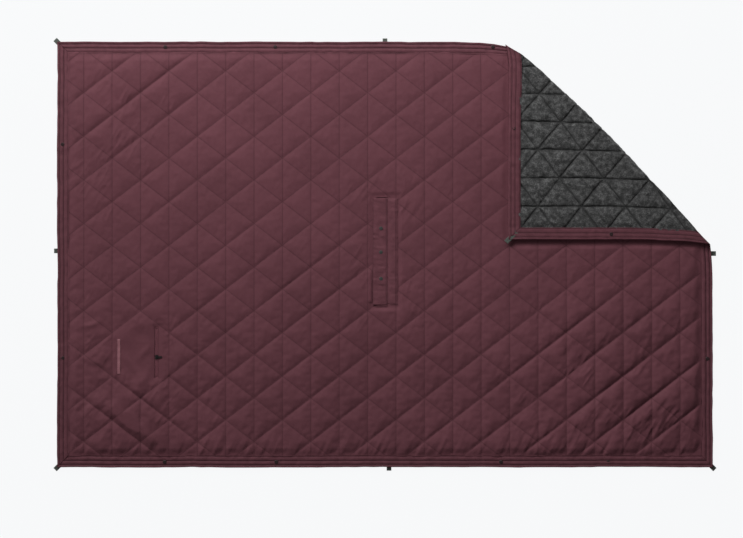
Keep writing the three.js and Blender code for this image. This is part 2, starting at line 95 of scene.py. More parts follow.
# the fold
JOINTS = {joint["name"]: joint for joint in frame["joints"]}
FOLD_AT = JOINTS["corner_fold"]["pos_m"]
FOLD_SUM = FOLD_AT[0] + FOLD_AT[1]
FOLD_Z = FOLD_AT[2]
FOLD_T0 = (FOLD_SUM - HALF_W - HALF_W) / math.sqrt(2)  # along the fold, where it meets the top edge
FOLD_T1 = (HALF_L + HALF_L - FOLD_SUM) / math.sqrt(2)  # and where it meets the right edge
FOLD_TM = (FOLD_T0 + FOLD_T1) / 2
FOLD_HALF = (FOLD_T1 - FOLD_T0) / 2

# heights of the layers, from the ground up
FLEECE_TOP_Z = 0.0051
FILLING_LOW_Z = 0.0054
FILLING_TOP_Z = 0.0088
CORNER_FACE_LOW_Z = 0.0091
FACE_LOWEST_Z = 0.0096
SEAM_Z = 0.0099                # the face on a seam
FLAP_LOW_Z = 0.0114
PULL_CLEAR_Z = 0.0124          # the face stays under this where the zip's pull passes
FACE_HIGHEST_Z = 0.0255
FACE_THICKNESS = 0.0009
PUFF_HEIGHT = 0.0034           # how far the formula lifts the face in the middle of a triangle

SLIT_HALF = 0.005              # half width of the neck slit in the face
ZIP_SLOT_HALF = 0.006          # half width of the zip's slot, and how far it stops short of the tapes
STEP_X = PITCH_X / 16
STEP_Y = PITCH_Y / 24


# ---- small tools ----

def smooth(x, low, high):
    """0 below low, 1 above high, smooth between."""
    t = np.clip((x - low) / (high - low), 0, 1)
    return t * t * (3 - 2 * t)


def noise(x, y, cell, seed):
    """Smooth noise from -1 to 1, the same on every run."""
    size = 512
    table = np.random.default_rng(seed).uniform(-1, 1, (size, size))
    fx, fy = x / cell + 97.3, y / cell + 61.7
    ix, iy = np.floor(fx).astype(int), np.floor(fy).astype(int)
    tx, ty = fx - ix, fy - iy
    tx, ty = tx * tx * (3 - 2 * tx), ty * ty * (3 - 2 * ty)
    low = table[ix % size, iy % size] * (1 - tx) + table[(ix + 1) % size, iy % size] * tx
    high = table[ix % size, (iy + 1) % size] * (1 - tx) + table[(ix + 1) % size, (iy + 1) % size] * tx
    return low * (1 - ty) + high * ty


def in_box(x, y, x0, x1, y0, y1, soft):
    """1 inside a rectangle, fading to 0 over `soft` metres outside it."""
    outside = np.maximum(np.maximum(x0 - x, x - x1), np.maximum(y0 - y, y - y1))
    return 1 - smooth(outside, 0, soft)


def hump(x, y, at_x, at_y, size_x, size_y):
    """1 at a place, fading to 0 round it."""
    return np.exp(-(((x - at_x) / size_x) ** 2 + ((y - at_y) / size_y) ** 2))


def refine(a):
    """An array of heights at twice the resolution, along both axes."""
    for _ in range(2):
        padded = np.concatenate([a[:1], a, a[-1:]])
        middle = (9 * (a[:-1] + a[1:]) - padded[:-3] - padded[3:]) / 16
        out = np.empty((2 * len(a) - 1, a.shape[1]))
        out[0::2], out[1::2] = a, middle
        a = out.T
    return a


def blur(a):
    """An array of heights, softened a little."""
    for _ in range(2):
        padded = np.concatenate([a[:1], a, a[-1:]])
        a = ((padded[:-2] + 2 * a + padded[2:]) / 4).T
    return a


def new_object(name, points, faces, uv=None, materials=(), which=None, smooth_shade=True):
    """A mesh object from an (n, 3) array and a list of (m, k) index arrays."""
    mesh = bpy.data.meshes.new(name)
    loops = np.concatenate([f.ravel() for f in faces]).astype(np.int32)
    sizes = np.concatenate([np.full(len(f), f.shape[1]) for f in faces])
    starts = np.concatenate([[0], np.cumsum(sizes)[:-1]]).astype(np.int32)
    mesh.vertices.add(len(points))
    mesh.vertices.foreach_set("co", np.asarray(points, np.float32).ravel())
    mesh.loops.add(len(loops))
    mesh.loops.foreach_set("vertex_index", loops)
    mesh.polygons.add(len(sizes))
    mesh.polygons.foreach_set("loop_start", starts)
    mesh.update(calc_edges=True)
    mesh.polygons.foreach_set("use_smooth", np.full(len(sizes), smooth_shade))
    if uv is not None:
        layer = mesh.uv_layers.new(name="flat")
        layer.data.foreach_set("uv", np.asarray(uv, np.float32)[loops].ravel())
    for material in materials:
        mesh.materials.append(material)
    if which is not None:
        mesh.polygons.foreach_set("material_index", np.asarray(which, np.int32))
    obj = bpy.data.objects.new(name, mesh)
    bpy.context.collection.objects.link(obj)
    return obj


# ---- quilting ----

def seam_lines(x, y):
    """For each set of seams: distance to the nearest, place along it, and its number."""
    found = {}
    rising, falling = (y - SEAM_Y) - SLOPE * (x - SEAM_X), (y - SEAM_Y) + SLOPE * (x - SEAM_X)
    in_panel = (np.abs(x - PANEL[0]) < PITCH_X)
    for value, of_panel in ((rising, PANEL[1] - SEAM_Y - SLOPE * (PANEL[0] - SEAM_X)),
                            (falling, PANEL[1] - SEAM_Y + SLOPE * (PANEL[0] - SEAM_X))):
        in_panel = in_panel & (np.abs(value - of_panel) < PITCH_Y)
    for name, value, pitch, scale, along, centre in (
        ("upright", x - SEAM_X, PITCH_X, 1, y, PANEL[0] - SEAM_X),
        ("rising", rising, PITCH_Y, SLANT, x / SLANT, PANEL[1] - SEAM_Y - SLOPE * (PANEL[0] - SEAM_X)),
        ("falling", falling, PITCH_Y, SLANT, x / SLANT, PANEL[1] - SEAM_Y + SLOPE * (PANEL[0] - SEAM_X)),
    ):
        number = np.round(value / pitch)
        distance = value - number * pitch
        off = value - centre
        distance = np.where(in_panel & (np.abs(off) < pitch / 2), pitch - np.abs(off), distance)
        found[name] = (distance * scale, along, number)
    return found


def puff(x, y, seams, seed=5):
    """0 in the deepest seam, about 1 in the middle of a quilted triangle. `seams` gives depth and width."""
    height = np.ones(np.shape(x))
    for i, (name, (distance, along, number)) in enumerate(seam_lines(x, y).items()):
        depth, width = seams[name]
        uneven = 1 + 0.4 * noise(along, number * 7.7, 0.16, seed + i)
        height *= 1 - np.clip(depth * uneven, 0, 1) * np.exp(-np.abs(distance) / width)
    return height


def puckers(x, y, reach, seed):
    """Little gathers that run out from each seam, from -1 to 1."""
    total = np.zeros(np.shape(x))
    for i, (distance, along, number) in enumerate(seam_lines(x, y).values()):
        side = np.sign(distance) * 3.1
        lean = along + distance * 0.5 * noise(along, number * 3.3, 0.05, seed + 9 + i)
        fine = noise(lean, number * 11.3 + side, 0.0095, seed + i)
        coarse = noise(lean, number * 5.9 - side, 0.021, seed + 20 + i)
        total += (0.6 * fine + 0.8 * coarse) * np.exp(-np.abs(distance) / reach)
    return total


# ---- the fold ----

def across_fold(x, y):
    return (x + y - FOLD_SUM) / math.sqrt(2)


def along_fold(x, y):
    """-1 at the top edge, 1 at the right edge."""
    return ((x - y) / math.sqrt(2) - FOLD_TM) / FOLD_HALF


def fold_reach(t):
    """How far the outside of the fold stands past the hinge line."""
    off = np.abs(t + 0.1)
    right = np.maximum(0.009 - 0.019 * off ** 1.6, -0.0105)
    return np.where(t < -0.1, 0.009 - 0.026 * off ** 2, right) - 0.008 * smooth(-t, 0.85, 1.0)


def pull_in(x, y):
    """The layers draw back from the hinge line near both ends of the fold."""
    s, t = across_fold(x, y), np.clip(along_fold(x, y), -1.05, 1.05)
    shift = np.minimum(fold_reach(t), 0) * np.exp(-np.abs(s) / 0.042) * np.where(s < 0, 1, -1)
    return x + shift / math.sqrt(2), y + shift / math.sqrt(2)


def corner_drift(s):
    """The corner lies a little to one side of where a sharp fold would put it."""
    return 0.014 * (0.4 + 0.6 * smooth(s, 0, 0.16))


def corner_lift(s, t):
    """And it stands up a little at the right-hand end of the fold."""
    return 0.0045 * np.exp(-((t - 0.93) / 0.16) ** 2) * np.exp(-s / 0.10)


def turn_over(points):
    """Flat coordinates of the corner to where they lie folded, with the corner's own soft shift."""
    x, y, z = points[..., 0], points[..., 1], points[..., 2]
    s = np.maximum(across_fold(x, y), 0)
    aside = corner_drift(s) / math.sqrt(2)
    lift = corner_lift(s, along_fold(x, y))
    return np.stack([FOLD_SUM - y - aside, FOLD_SUM - x + aside, 2 * FOLD_Z - z + lift], -1)


# ---- shells on a grid ----

def corner_ids(mask):
    """Vertex numbers on a grid of cells, -1 where no kept cell touches, and the kept cells as quads."""
    ny, nx = mask.shape
    used = np.zeros((ny + 1, nx + 1), bool)
    for dy in (0, 1):
        for dx in (0, 1):
            used[dy:ny + dy, dx:nx + dx] |= mask
    ids = np.full(used.shape, -1)
    ids[used] = np.arange(used.sum())
    row, col = np.nonzero(mask)
    quads = np.stack([ids[row, col], ids[row, col + 1], ids[row + 1, col + 1], ids[row + 1, col]], -1)
    return ids, used, quads


def grid_shell(name, xs, ys, mask, top, bottom, flat, materials, wall_material=0):
    """A closed shell. `top` takes the refined grid's x and y, `bottom` the coarse grid's, and each gives
    points; `flat` gives the flat coordinates that the materials read. The rim joins the two."""
    fine_x, fine_y = refine_line(xs), refine_line(ys)
    fine_mask = np.repeat(np.repeat(mask, 2, 0), 2, 1)
    top_ids, top_used, top_quads = corner_ids(fine_mask)
    low_ids, low_used, low_quads = corner_ids(mask)
    gx, gy = np.meshgrid(fine_x, fine_y)
    top_points = top(gx, gy)[top_used]
    top_flat = flat(gx, gy)[top_used]
    gx, gy = np.meshgrid(xs, ys)
    low_points = bottom(gx, gy)[low_used]
    low_flat = flat(gx, gy)[low_used]
    low_ids = np.where(low_ids >= 0, low_ids + len(top_points), -1)
    walls = []
    padded = np.pad(mask, 1)
    for dr, dc, start, end in ((-1, 0, (0, 0), (0, 1)), (0, 1, (0, 1), (1, 1)),
                               (1, 0, (1, 1), (1, 0)), (0, -1, (1, 0), (0, 0))):
        beyond = padded[1 + dr:padded.shape[0] - 1 + dr, 1 + dc:padded.shape[1] - 1 + dc]
        row, col = np.nonzero(mask & ~beyond)
        ar, ac, br, bc = row + start[0], col + start[1], row + end[0], col + end[1]
        walls.append(np.stack([low_ids[ar, ac], low_ids[br, bc], top_ids[2 * br, 2 * bc],
                               top_ids[ar + br, ac + bc], top_ids[2 * ar, 2 * ac]], -1))
    walls = np.concatenate(walls)
    low_quads = low_quads[:, ::-1] + len(top_points)
    which = np.concatenate([np.zeros(len(top_quads)), np.full(len(low_quads) + len(walls), wall_material)])
    return new_object(name, np.concatenate([top_points, low_points]), [top_quads, low_quads, walls],
                      np.concatenate([top_flat, low_flat]), materials, which)


def refine_line(values):
    out = np.empty(2 * len(values) - 1)
    out[0::2], out[1::2] = values, (values[1:] + values[:-1]) / 2
    return out


def flat_grid(step_x, step_y, x0, x1, y0, y1):
    """Grid lines that fall on the seams, with the outer ones moved to the limits."""
    lines = []
    for seam, step, low, high in ((SEAM_X, step_x, x0, x1), (SEAM_Y, step_y, y0, y1)):
        first, last = math.ceil((low - seam) / step), math.floor((high - seam) / step)
        places = seam + step * np.arange(first, last + 1)
        places[0], places[-1] = low, high
        lines.append(places)
    return lines


def snap_to_fold(x, y, side, near):
    """Draws the grid's ragged edge onto the fold's cut line. side is -1 on the ground, 1 on the corner."""
    s = across_fold(x, y)
    cut = 0.0002 * side
    move = np.where(s * side < near, cut - s, 0)
    return x + move / math.sqrt(2), y + move / math.sqrt(2)


def stack(x, y, z):
    return np.stack([x, y, np.broadcast_to(z, x.shape)], -1)


def cell_centres(xs, ys):
    return np.meshgrid((xs[1:] + xs[:-1]) / 2, (ys[1:] + ys[:-1]) / 2)


# ---- the main panel ----

ZIP_LOW, ZIP_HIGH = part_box("zip_tape_left")[0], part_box("zip_tape_right")[1]
ZIP_X, ZIP_Y = (ZIP_LOW.x + ZIP_HIGH.x) / 2, (ZIP_LOW.y + ZIP_HIGH.y) / 2
SLIT_LOW, SLIT_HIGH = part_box("neck_slit_lining")
FLAP_LOW, FLAP_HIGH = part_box("neck_flap")
FACING_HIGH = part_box("neck_facing")[1]
RIBBON_LOW, RIBBON_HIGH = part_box("pocket_ribbon")

FACE_SEAMS = {"rising": (0.95, 0.0095), "falling": (0.50, 0.0060), "upright": (0.36, 0.0042)}

# Each long fold: where it starts and ends, its half width and its height.
LONG_FOLDS = (
    ((-0.820, -0.450), (-0.685, -0.556), 0.016, 0.0085),
    ((-0.775, -0.300), (-0.715, -0.385), 0.012, 0.0036),
    ((-0.735, -0.310), (-0.690, -0.262), 0.009, 0.0020),
    ((-0.900, -0.215), (-0.845, -0.200), 0.010, 0.0034),
    ((-0.905, -0.300), (-0.850, -0.330), 0.011, 0.0034),
    ((-0.905, -0.500), (-0.850, -0.430), 0.012, 0.0018),
    ((0.560, -0.520), (0.650, -0.430), 0.013, 0.0024),
    ((0.700, -0.560), (0.800, -0.450), 0.012, 0.0026),
    ((0.800, -0.575), (0.890, -0.480), 0.012, 0.0026),
)


def beside_zip(x, y):
    return in_box(x, y, ZIP_X - ZIP_SLOT_HALF, ZIP_X + ZIP_SLOT_HALF,
                  ZIP_LOW.y + ZIP_SLOT_HALF, ZIP_HIGH.y - ZIP_SLOT_HALF, 0.010)


def under_corner(x, y, soft):
    return in_box(x, y, FOLD_SUM - HALF_W - 0.012, 2, FOLD_SUM - HALF_L - 0.002, 2, soft)


def loft(x, y):
    """How freely the face puffs up: less under the folded corner, round the neck opening and at the zip."""
    neck = in_box(x, y, FLAP_LOW.x - 0.002, FACING_HIGH.x, FLAP_LOW.y - 0.006, FLAP_HIGH.y + 0.006, 0.014)
    pocket = np.exp(-(((x - ZIP_X + 0.035) / 0.085) ** 4 + ((y - ZIP_Y) / 0.085) ** 4))
    border = np.minimum(HALF_L - BAND - np.abs(x), HALF_W - BAND - np.abs(y))
    free = smooth(border, -0.004, 0.024)
    corner, zipped = under_corner(x, y, 0.018), beside_zip(x, y)
    for part, held in ((corner, 0.85), (neck, 0.88), (pocket, 0.80), (zipped, 0.6)):
        free = free * (1 - held * part)
    return free


def big_folds(x, y):
    """The rising seams are pulled deeper in places, so the cloth between them stands up in long folds."""
    upper_left = hump(x, y, -0.74, 0.42, 0.26, 0.22)
    lower_right = hump(x, y, 0.66, -0.42, 0.34, 0.28)
    left = hump(x, y, -0.45, -0.15, 0.3, 0.2)
    lower_left = hump(x, y, -0.72, -0.42, 0.34, 0.26)
    long_wave = hump(x, y, -0.76, -0.52, 0.13, 0.11)
    lines = seam_lines(x, y)
    height = 0
    for name, size, seed, strength in (
        ("rising", 0.0042, 35, 0.8 * upper_left + 1.1 * lower_right + 0.3 * left + 0.16),
        ("falling", 0.0026, 36, 0.7 * lower_right + 0.8 * lower_left + 1.4 * long_wave + 0.12),
        ("upright", 0.0018, 37, 0.9 * lower_right + 0.6 * lower_left + 0.10),
    ):
        uneven = np.clip(0.9 + 0.85 * noise(x, y, 0.12, seed), 0, 2)
        width = 0.010 + 0.004 * noise(x, y, 0.2, seed + 4)
        height = height + size * strength * uneven * (1 - np.exp(-np.abs(lines[name][0]) / width))
    return height


def fullness(x, y):
    """The panel lies flatter towards the top and the middle."""
    lower = smooth(-y, -0.15, 0.5)
    return 0.46 + 0.40 * lower + 0.24 * smooth(x, 0.25, 0.85) * smooth(-y, -0.25, 0.3)


def crumples(x, y):
    """Loose wrinkles, longer than they are wide, that mostly run steeply up to the right."""
    lower_right = hump(x, y, 0.72, -0.45, 0.34, 0.24)
    lower_left = hump(x, y, -0.80, -0.42, 0.26, 0.26)
    upper_left = hump(x, y, -0.84, 0.40, 0.16, 0.26)
    round_neck = in_box(x, y, -0.06, 0.06, -0.17, 0.19, 0.09)
    strength = 0.16 + 1.0 * lower_right + 0.75 * lower_left + 0.8 * upper_left + 0.35 * round_neck
    bent = x + 0.02 * noise(x, y, 0.11, 94)
    across, along = bent * 0.87 - y * 0.5, bent * 0.5 + y * 0.87
    long = 1 - 2 * np.abs(noise(across, along * 0.28, 0.017, 92))
    fine = 1 - 2 * np.abs(noise(across, along * 0.4, 0.0085, 93))
    patches = smooth(noise(x, y, 0.055, 95), -0.5, 0.6)
    return strength * patches * (0.0014 * long + 0.0006 * fine)


def fold_line(x, y, start, end, width):
    """A long soft ridge from one place to another, 1 on its crest."""
    start, end = np.array(start), np.array(end)
    length = np.hypot(*(end - start))
    ux, uy = (end - start) / length
    along = (x - start[0]) * ux + (y - start[1]) * uy
    across = (y - start[1]) * ux - (x - start[0]) * uy + 0.003 * noise(x, y, 0.03, 66)
    ends = smooth(along, -0.02, 0.025) * smooth(length - along, -0.02, 0.025)
    return ends * np.exp(-(across / width) ** 2)


def loose_pocket(x, y):
    """The plain panel is slack over the pocket, and the zip puckers it."""
    inside = hump(x, y, ZIP_X - 0.04, ZIP_Y, 0.11, 0.10)
    ridges = 1 - 2 * np.abs(noise(x + 0.4 * y, 0.6 * y, 0.03, 62))
    slack = 0.0016 * noise(x, y, 0.036, 61) + 0.0010 * ridges
    beside = in_box(x, y, ZIP_X - 0.016, ZIP_X + 0.040, ZIP_LOW.y - 0.004, ZIP_HIGH.y + 0.008, 0.012)
    fine = 0.0006 * noise(x - 0.5 * y, 0.35 * x + y, 0.0085, 63)
    return (1 - 0.8 * beside_zip(x, y)) * (inside * (0.0006 + slack) + beside * fine)


def long_folds(x, y):
    """The few folds that are much longer than the quilting's triangles."""
    height = np.zeros(np.shape(x))
    for start, end, width, size in LONG_FOLDS:
        height = height + size * fold_line(x, y, start, end, width)
    return height


def below_pull(x, y, z):
    """Keeps the face under the zip's pull, wherever the pull runs and whichever way it lies."""
    near = np.exp(-(((x - ZIP_X) / 0.034) ** 4 + ((y - ZIP_Y) / 0.105) ** 8))
    over = z - (PULL_CLEAR_Z + 0.012 * (1 - near))
    return z - (over + np.sqrt(over ** 2 + 0.0014 ** 2)) / 2


def flap_gap(x, y):
    """The face stands up in a lip along the lower half of the flap's free edge."""
    along = smooth(-y, 0.03, 0.06) * smooth(y, -0.148, -0.138)
    across = FLAP_LOW.x - x
    return 0.0030 * along * smooth(across, 0.0005, 0.004) * (1 - smooth(across, 0.006, 0.024))


def face_start(x, y):
    """The face's shape before the simulation, above the seam height."""
    return PUFF_HEIGHT * puff(x, y, FACE_SEAMS)


SIM_FRAMES = 8
SIM_PRESSURE = 2.6
SIM_SHARE = 0.8                # how much of the simulated swelling is kept
SWELLING_LIMITS = (-0.002, 0.006)


def simulate_face(xs, ys):
    """Cloth held along the seams and blown up by the filling. Gives what it adds to the starting height."""
    gx, gy = np.meshgrid(xs, ys)
    start = face_start(gx, gy)
    _, _, quads = corner_ids(np.ones((len(ys) - 1, len(xs) - 1), bool))
    cloth = new_object("face_sim", stack(gx, gy, start).reshape(-1, 3), [quads])
    lines = seam_lines(gx, gy)
    pinned = np.zeros(gx.shape, bool)
    pinned[[0, -1], :] = True
    pinned[:, [0, -1]] = True
    held = {"upright": 0.40 * STEP_X, "rising": 0.52 * STEP_X, "falling": 0.52 * STEP_X}
    for name, limit in held.items():
        pinned |= np.abs(lines[name][0]) < limit
    group = cloth.vertex_groups.new(name="sewn")
    group.add(np.flatnonzero(pinned.ravel()).tolist(), 1.0, "REPLACE")
    modifier = cloth.modifiers.new("cloth", "CLOTH")
    settings = modifier.settings
    settings.quality = 5
    settings.mass = 0.05
    settings.tension_stiffness = settings.compression_stiffness = 12
    settings.shear_stiffness = 4
    settings.bending_stiffness = 9
    settings.air_damping = 2
    settings.vertex_group_mass = group.name
    settings.use_pressure = True
    settings.uniform_pressure_force = SIM_PRESSURE
    settings.shrink_min = -0.012
    settings.effector_weights.gravity = 0
    modifier.collision_settings.use_collision = False
    modifier.collision_settings.use_self_collision = False
    modifier.point_cache.frame_start = 1
    modifier.point_cache.frame_end = SIM_FRAMES
    scene = bpy.context.scene
    for number in range(1, SIM_FRAMES + 1):
        scene.frame_set(number)
    settled = cloth.evaluated_get(bpy.context.evaluated_depsgraph_get()).data
    points = np.empty(len(settled.vertices) * 3, np.float32)
    settled.vertices.foreach_get("co", points)
    scene.frame_set(1)
    bpy.data.objects.remove(cloth)
    height = points.reshape(len(ys), len(xs), 3)[..., 2]
    swelling = np.clip(height - start, *SWELLING_LIMITS)
    return (blur(swelling) + swelling) / 2


def border_gathers(x, y):
    """Short steep folds where the face is eased into the bottom and side bindings."""
    bottom = y + HALF_W - BAND
    sides = np.minimum(HALF_L - BAND - np.abs(x), 10)
    lean = x - 0.45 * bottom
    low = noise(lean, 0.1 * bottom, 0.010, 71) + 0.7 * noise(lean, 0.1 * bottom, 0.021, 73)
    low *= np.exp(-np.maximum(bottom, 0) / 0.045) * (0.7 + 0.6 * smooth(x, 0.1, 0.8))
    side = noise(0.1 * sides, y - 0.6 * sides, 0.013, 72) * np.exp(-np.maximum(sides, 0) / 0.026)
    inside = smooth(np.minimum(bottom, sides), -0.002, 0.008)
    return inside * (0.0026 * low + 0.0014 * side)


def make_face(materials):
    xs, ys = flat_grid(STEP_X, STEP_Y, -EDGE_X, EDGE_X, -EDGE_Y, EDGE_Y)
    swelling = simulate_face(xs, ys)
    cx, cy = cell_centres(xs, ys)
    mask = across_fold(cx, cy) < 0
    mask &= ~((np.abs(cx) < SLIT_HALF) & (cy > SLIT_LOW.y) & (cy < SLIT_HIGH.y))
    mask &= ~((np.abs(cx - ZIP_X) < ZIP_SLOT_HALF)
              & (cy > ZIP_LOW.y + ZIP_SLOT_HALF) & (cy < ZIP_HIGH.y - ZIP_SLOT_HALF))

    def surface(x, y, swell):
        free = loft(x, y)
        z = fullness(x, y) * (face_start(x, y) + SIM_SHARE * swell) + 0.0008 * noise(x, y, 0.19, 31)
        z += big_folds(x, y) + 0.00026 * puckers(x, y, 0.018, 41) + crumples(x, y)
        z = free * np.maximum(z, -0.0006) + long_folds(x, y) + loose_pocket(x, y) + flap_gap(x, y)
        z = below_pull(x, y, np.maximum(SEAM_Z + z + border_gathers(x, y), FACE_LOWEST_Z))
        px, py = snap_to_fold(x, y, -1, 0.004)
        return stack(*pull_in(px, py), np.minimum(z, FACE_HIGHEST_Z - 0.005 * under_corner(x, y, 0.03)))

    def top(x, y):
        return surface(x, y, refine(swelling))

    def bottom(x, y):
        return surface(x, y, swelling) - [0, 0, FACE_THICKNESS]

    def flat(x, y):
        return np.stack([x, y], -1)

    face = grid_shell("face_cloth", xs, ys, mask, top, bottom, flat, materials)
    fine_x, fine_y = refine_line(xs), refine_line(ys)
    return face, (fine_x, fine_y, top(*np.meshgrid(fine_x, fine_y))[..., 2])


def sampler(lines_x, lines_y, heights):
    """Reads the face's height at any place."""
    def read(x, y):
        ix = np.clip(np.searchsorted(lines_x, x) - 1, 0, len(lines_x) - 2)
        iy = np.clip(np.searchsorted(lines_y, y) - 1, 0, len(lines_y) - 2)
        tx = np.clip((x - lines_x[ix]) / (lines_x[ix + 1] - lines_x[ix]), 0, 1)
        ty = np.clip((y - lines_y[iy]) / (lines_y[iy + 1] - lines_y[iy]), 0, 1)
        low = heights[iy, ix] * (1 - tx) + heights[iy, ix + 1] * tx
        high = heights[iy + 1, ix] * (1 - tx) + heights[iy + 1, ix + 1] * tx
        return low * (1 - ty) + high * ty
    return read


def make_layer(name, z_top, z_bottom, materials, side, step=2):
    """A plain quilted layer, such as the filling or the fleece, on the ground or on the corner."""
    edge_x, edge_y = EDGE_X - 0.004, EDGE_Y - 0.004
    x0 = FOLD_SUM - edge_y if side > 0 else -edge_x
    y0 = FOLD_SUM - edge_x if side > 0 else -edge_y
    xs, ys = flat_grid(STEP_X * step, STEP_Y * step, x0, edge_x, y0, edge_y)
    cx, cy = cell_centres(xs, ys)
    mask = across_fold(cx, cy) * side > 0
    if side < 0:
        mask &= ~((np.abs(cx) < 0.008) & (cy > SLIT_LOW.y) & (cy < SLIT_HIGH.y))

    def place(x, y, z):
        px, py = snap_to_fold(x, y, side, 0.004 * step)
        points = stack(*pull_in(px, py), z)
        return turn_over(points) if side > 0 else points

    def flat(x, y):
        return np.stack([x, y], -1)

    return grid_shell(name, xs, ys, mask, lambda x, y: place(x, y, z_top(x, y)),
                      lambda x, y: place(x, y, z_bottom(x, y)), flat, materials)


def make_corner_fleece(materials):
    """The fleece that shows on the folded corner, worked out where it lies."""
    step = 0.0036
    x0, x1 = FOLD_SUM - EDGE_Y, EDGE_X
    y0, y1 = FOLD_SUM - EDGE_X, EDGE_Y
    xs, ys = np.arange(x0, x1, step), np.arange(y0, y1, step)
    cx, cy = cell_centres(xs, ys)
    mask = across_fold(cx, cy) < 0

    def place(x, y, z):
        px, py = snap_to_fold(FOLD_SUM - y, FOLD_SUM - x, 1, 0.0036)
        return turn_over(stack(*pull_in(px, py), z))

    def top(x, y):
        flat_x, flat_y = FOLD_SUM - y, FOLD_SUM - x
        from_border = np.minimum(EDGE_X - flat_x, EDGE_Y - flat_y)
        return place(x, y, fleece_low(flat_x, flat_y, bulge=0.0040 * smooth(from_border, 0.005, 0.022)))

    def flat(x, y):
        return np.stack([FOLD_SUM - y, FOLD_SUM - x], -1)

    def bottom(x, y):
        return place(x, y, 0.0052)

    return grid_shell("corner_fleece_pile", xs, ys, mask, top, bottom, flat, materials)


def fleece_low(x, y, depth=1.0, bulge=0.0):
    """Height of the fleece's outside above its lowest point: tufts and sunk seams."""
    brushed = x + 0.4 * y
    tufts = 0.0004 * noise(brushed, y, 0.0034, 51) + 0.0010 * noise(brushed, 0.7 * y, 0.0085, 52)
    tufts += 0.0011 * noise(x, y, 0.019, 53)
    groove, swell = np.zeros(np.shape(x)), np.ones(np.shape(x))
    for name, (distance, along, number) in seam_lines(x, y).items():
        strength = {"upright": 1.15, "rising": 0.85, "falling": 0.85}[name]
        uneven = 1 + 0.4 * noise(along, number * 5.1, 0.03, 54)
        wander = distance + 0.0016 * noise(along, number * 3.7, 0.012, 55)
        groove = np.maximum(groove, strength * uneven * np.exp(-(wander / 0.0032) ** 2))
        groove = np.maximum(groove, 0.62 * strength * np.exp(-np.abs(distance) / 0.013))
        swell = swell * (1 - 0.9 * np.exp(-np.abs(distance) / 0.009))
    return 0.0014 + tufts + depth * 0.0036 * groove - bulge * swell


# ---- swept pieces ----

def sweep(name, rings, uv, materials, which=None):
    """A closed solid through a row of rings. Each ring runs anticlockwise about the direction of travel."""
    n, k = rings.shape[:2]
    ids = np.arange(n * k).reshape(n, k)
    nxt = np.roll(ids, -1, axis=1)
    quads = np.stack([ids[:-1], nxt[:-1], nxt[1:], ids[1:]], -1).reshape(-1, 4)
    faces = [quads, ids[:1, ::-1], ids[-1:]]
    return new_object(name, rings.reshape(-1, 3), faces, uv.reshape(-1, 2), materials, which)


def strap(name, path, across, width, thickness, materials, turn=None):
    """A flat strip with soft edges that follows a path; `across` is its sideways direction."""
    path = np.asarray(path, float)
    along = np.gradient(path, axis=0)
    along /= np.linalg.norm(along, axis=1)[:, None]
    across = np.asarray(across, float)
    up = np.cross(along, across)
    half, h = width / 2, thickness / 2
    side = np.linspace(-half + 0.4 * h, half - 0.4 * h, 9)
    a = np.concatenate([side, [half - 0.1 * h, half, half - 0.1 * h], side[::-1],
                        [-half + 0.1 * h, -half, -half + 0.1 * h]])
    z = np.concatenate([-h * np.ones(9), [-0.7 * h, 0, 0.7 * h], h * np.ones(9), [0.7 * h, 0, -0.7 * h]])
    length = np.concatenate([[0], np.cumsum(np.linalg.norm(np.diff(path, axis=0), axis=1))])
    rings = path[:, None] + across * a[None, :, None] + up[:, None] * z[None, :, None]
    if turn:
        rings = turn(rings)
    uv = np.stack(np.broadcast_arrays(length[:, None], a[None, :]), -1)
    return sweep(name, rings, uv, materials)


def lathe(name, profile, x, y, materials, sides=40, turn=None):
    """A turned piece standing on z, from (radius, height) points that run upwards round the outside."""
    profile = np.asarray(profile, float)
    angle = np.linspace(0, 2 * math.pi, sides, endpoint=False)
    radius = profile[:, :1]
    rings = np.stack(np.broadcast_arrays(x + radius * np.cos(angle), y + radius * np.sin(angle),
                                         profile[:, 1:] + 0 * angle), -1)
    if turn:
        rings = turn(rings)
    uv = np.stack(np.broadcast_arrays(radius, angle[None, :] * 0.01), -1)
    return sweep(name, rings, uv, materials)


# ---- bindings ----

# stitch rows: distances from the outer edge of the binding, the flap's seam and the facing's seam
STITCH_ROWS = (0.008, 0.020, 0.0335)
# the flap's row at 0.0428 runs along its free edge; it carries painted shade, a dark line for the gap under
# the edge, with stitches drawn on it too
FLAP_STITCH_ROWS = (0.003, 0.0428)
FACING_STITCH_ROWS = (0.0255,)


def binding_profile():
    """(inset, height, top) points: from the inner edge underneath, round the outside, to the top."""
    near_rows = [row + d for row in STITCH_ROWS for d in (-0.0022, -0.0011, 0, 0.0011, 0.0022)]
    inset = np.unique(np.round(np.concatenate([np.linspace(0.0015, BAND, 19), near_rows]), 4))
    inset = inset[(inset > 0.001) & (inset <= BAND)]
    edge = np.linspace(-0.5, 0.5, 7)[1:-1] * math.pi
    low = [(v, 0.0003, 0) for v in inset[::-1][::2]]
    round_edge = [(0.0016 * (1 - math.cos(a)), 0.0052 + 0.0046 * math.sin(a), 0.5 + 0.5 * math.sin(a))
                  for a in edge]
    high = [(v, 0.0098, 1) for v in inset]
    return np.array(low + round_edge + high)


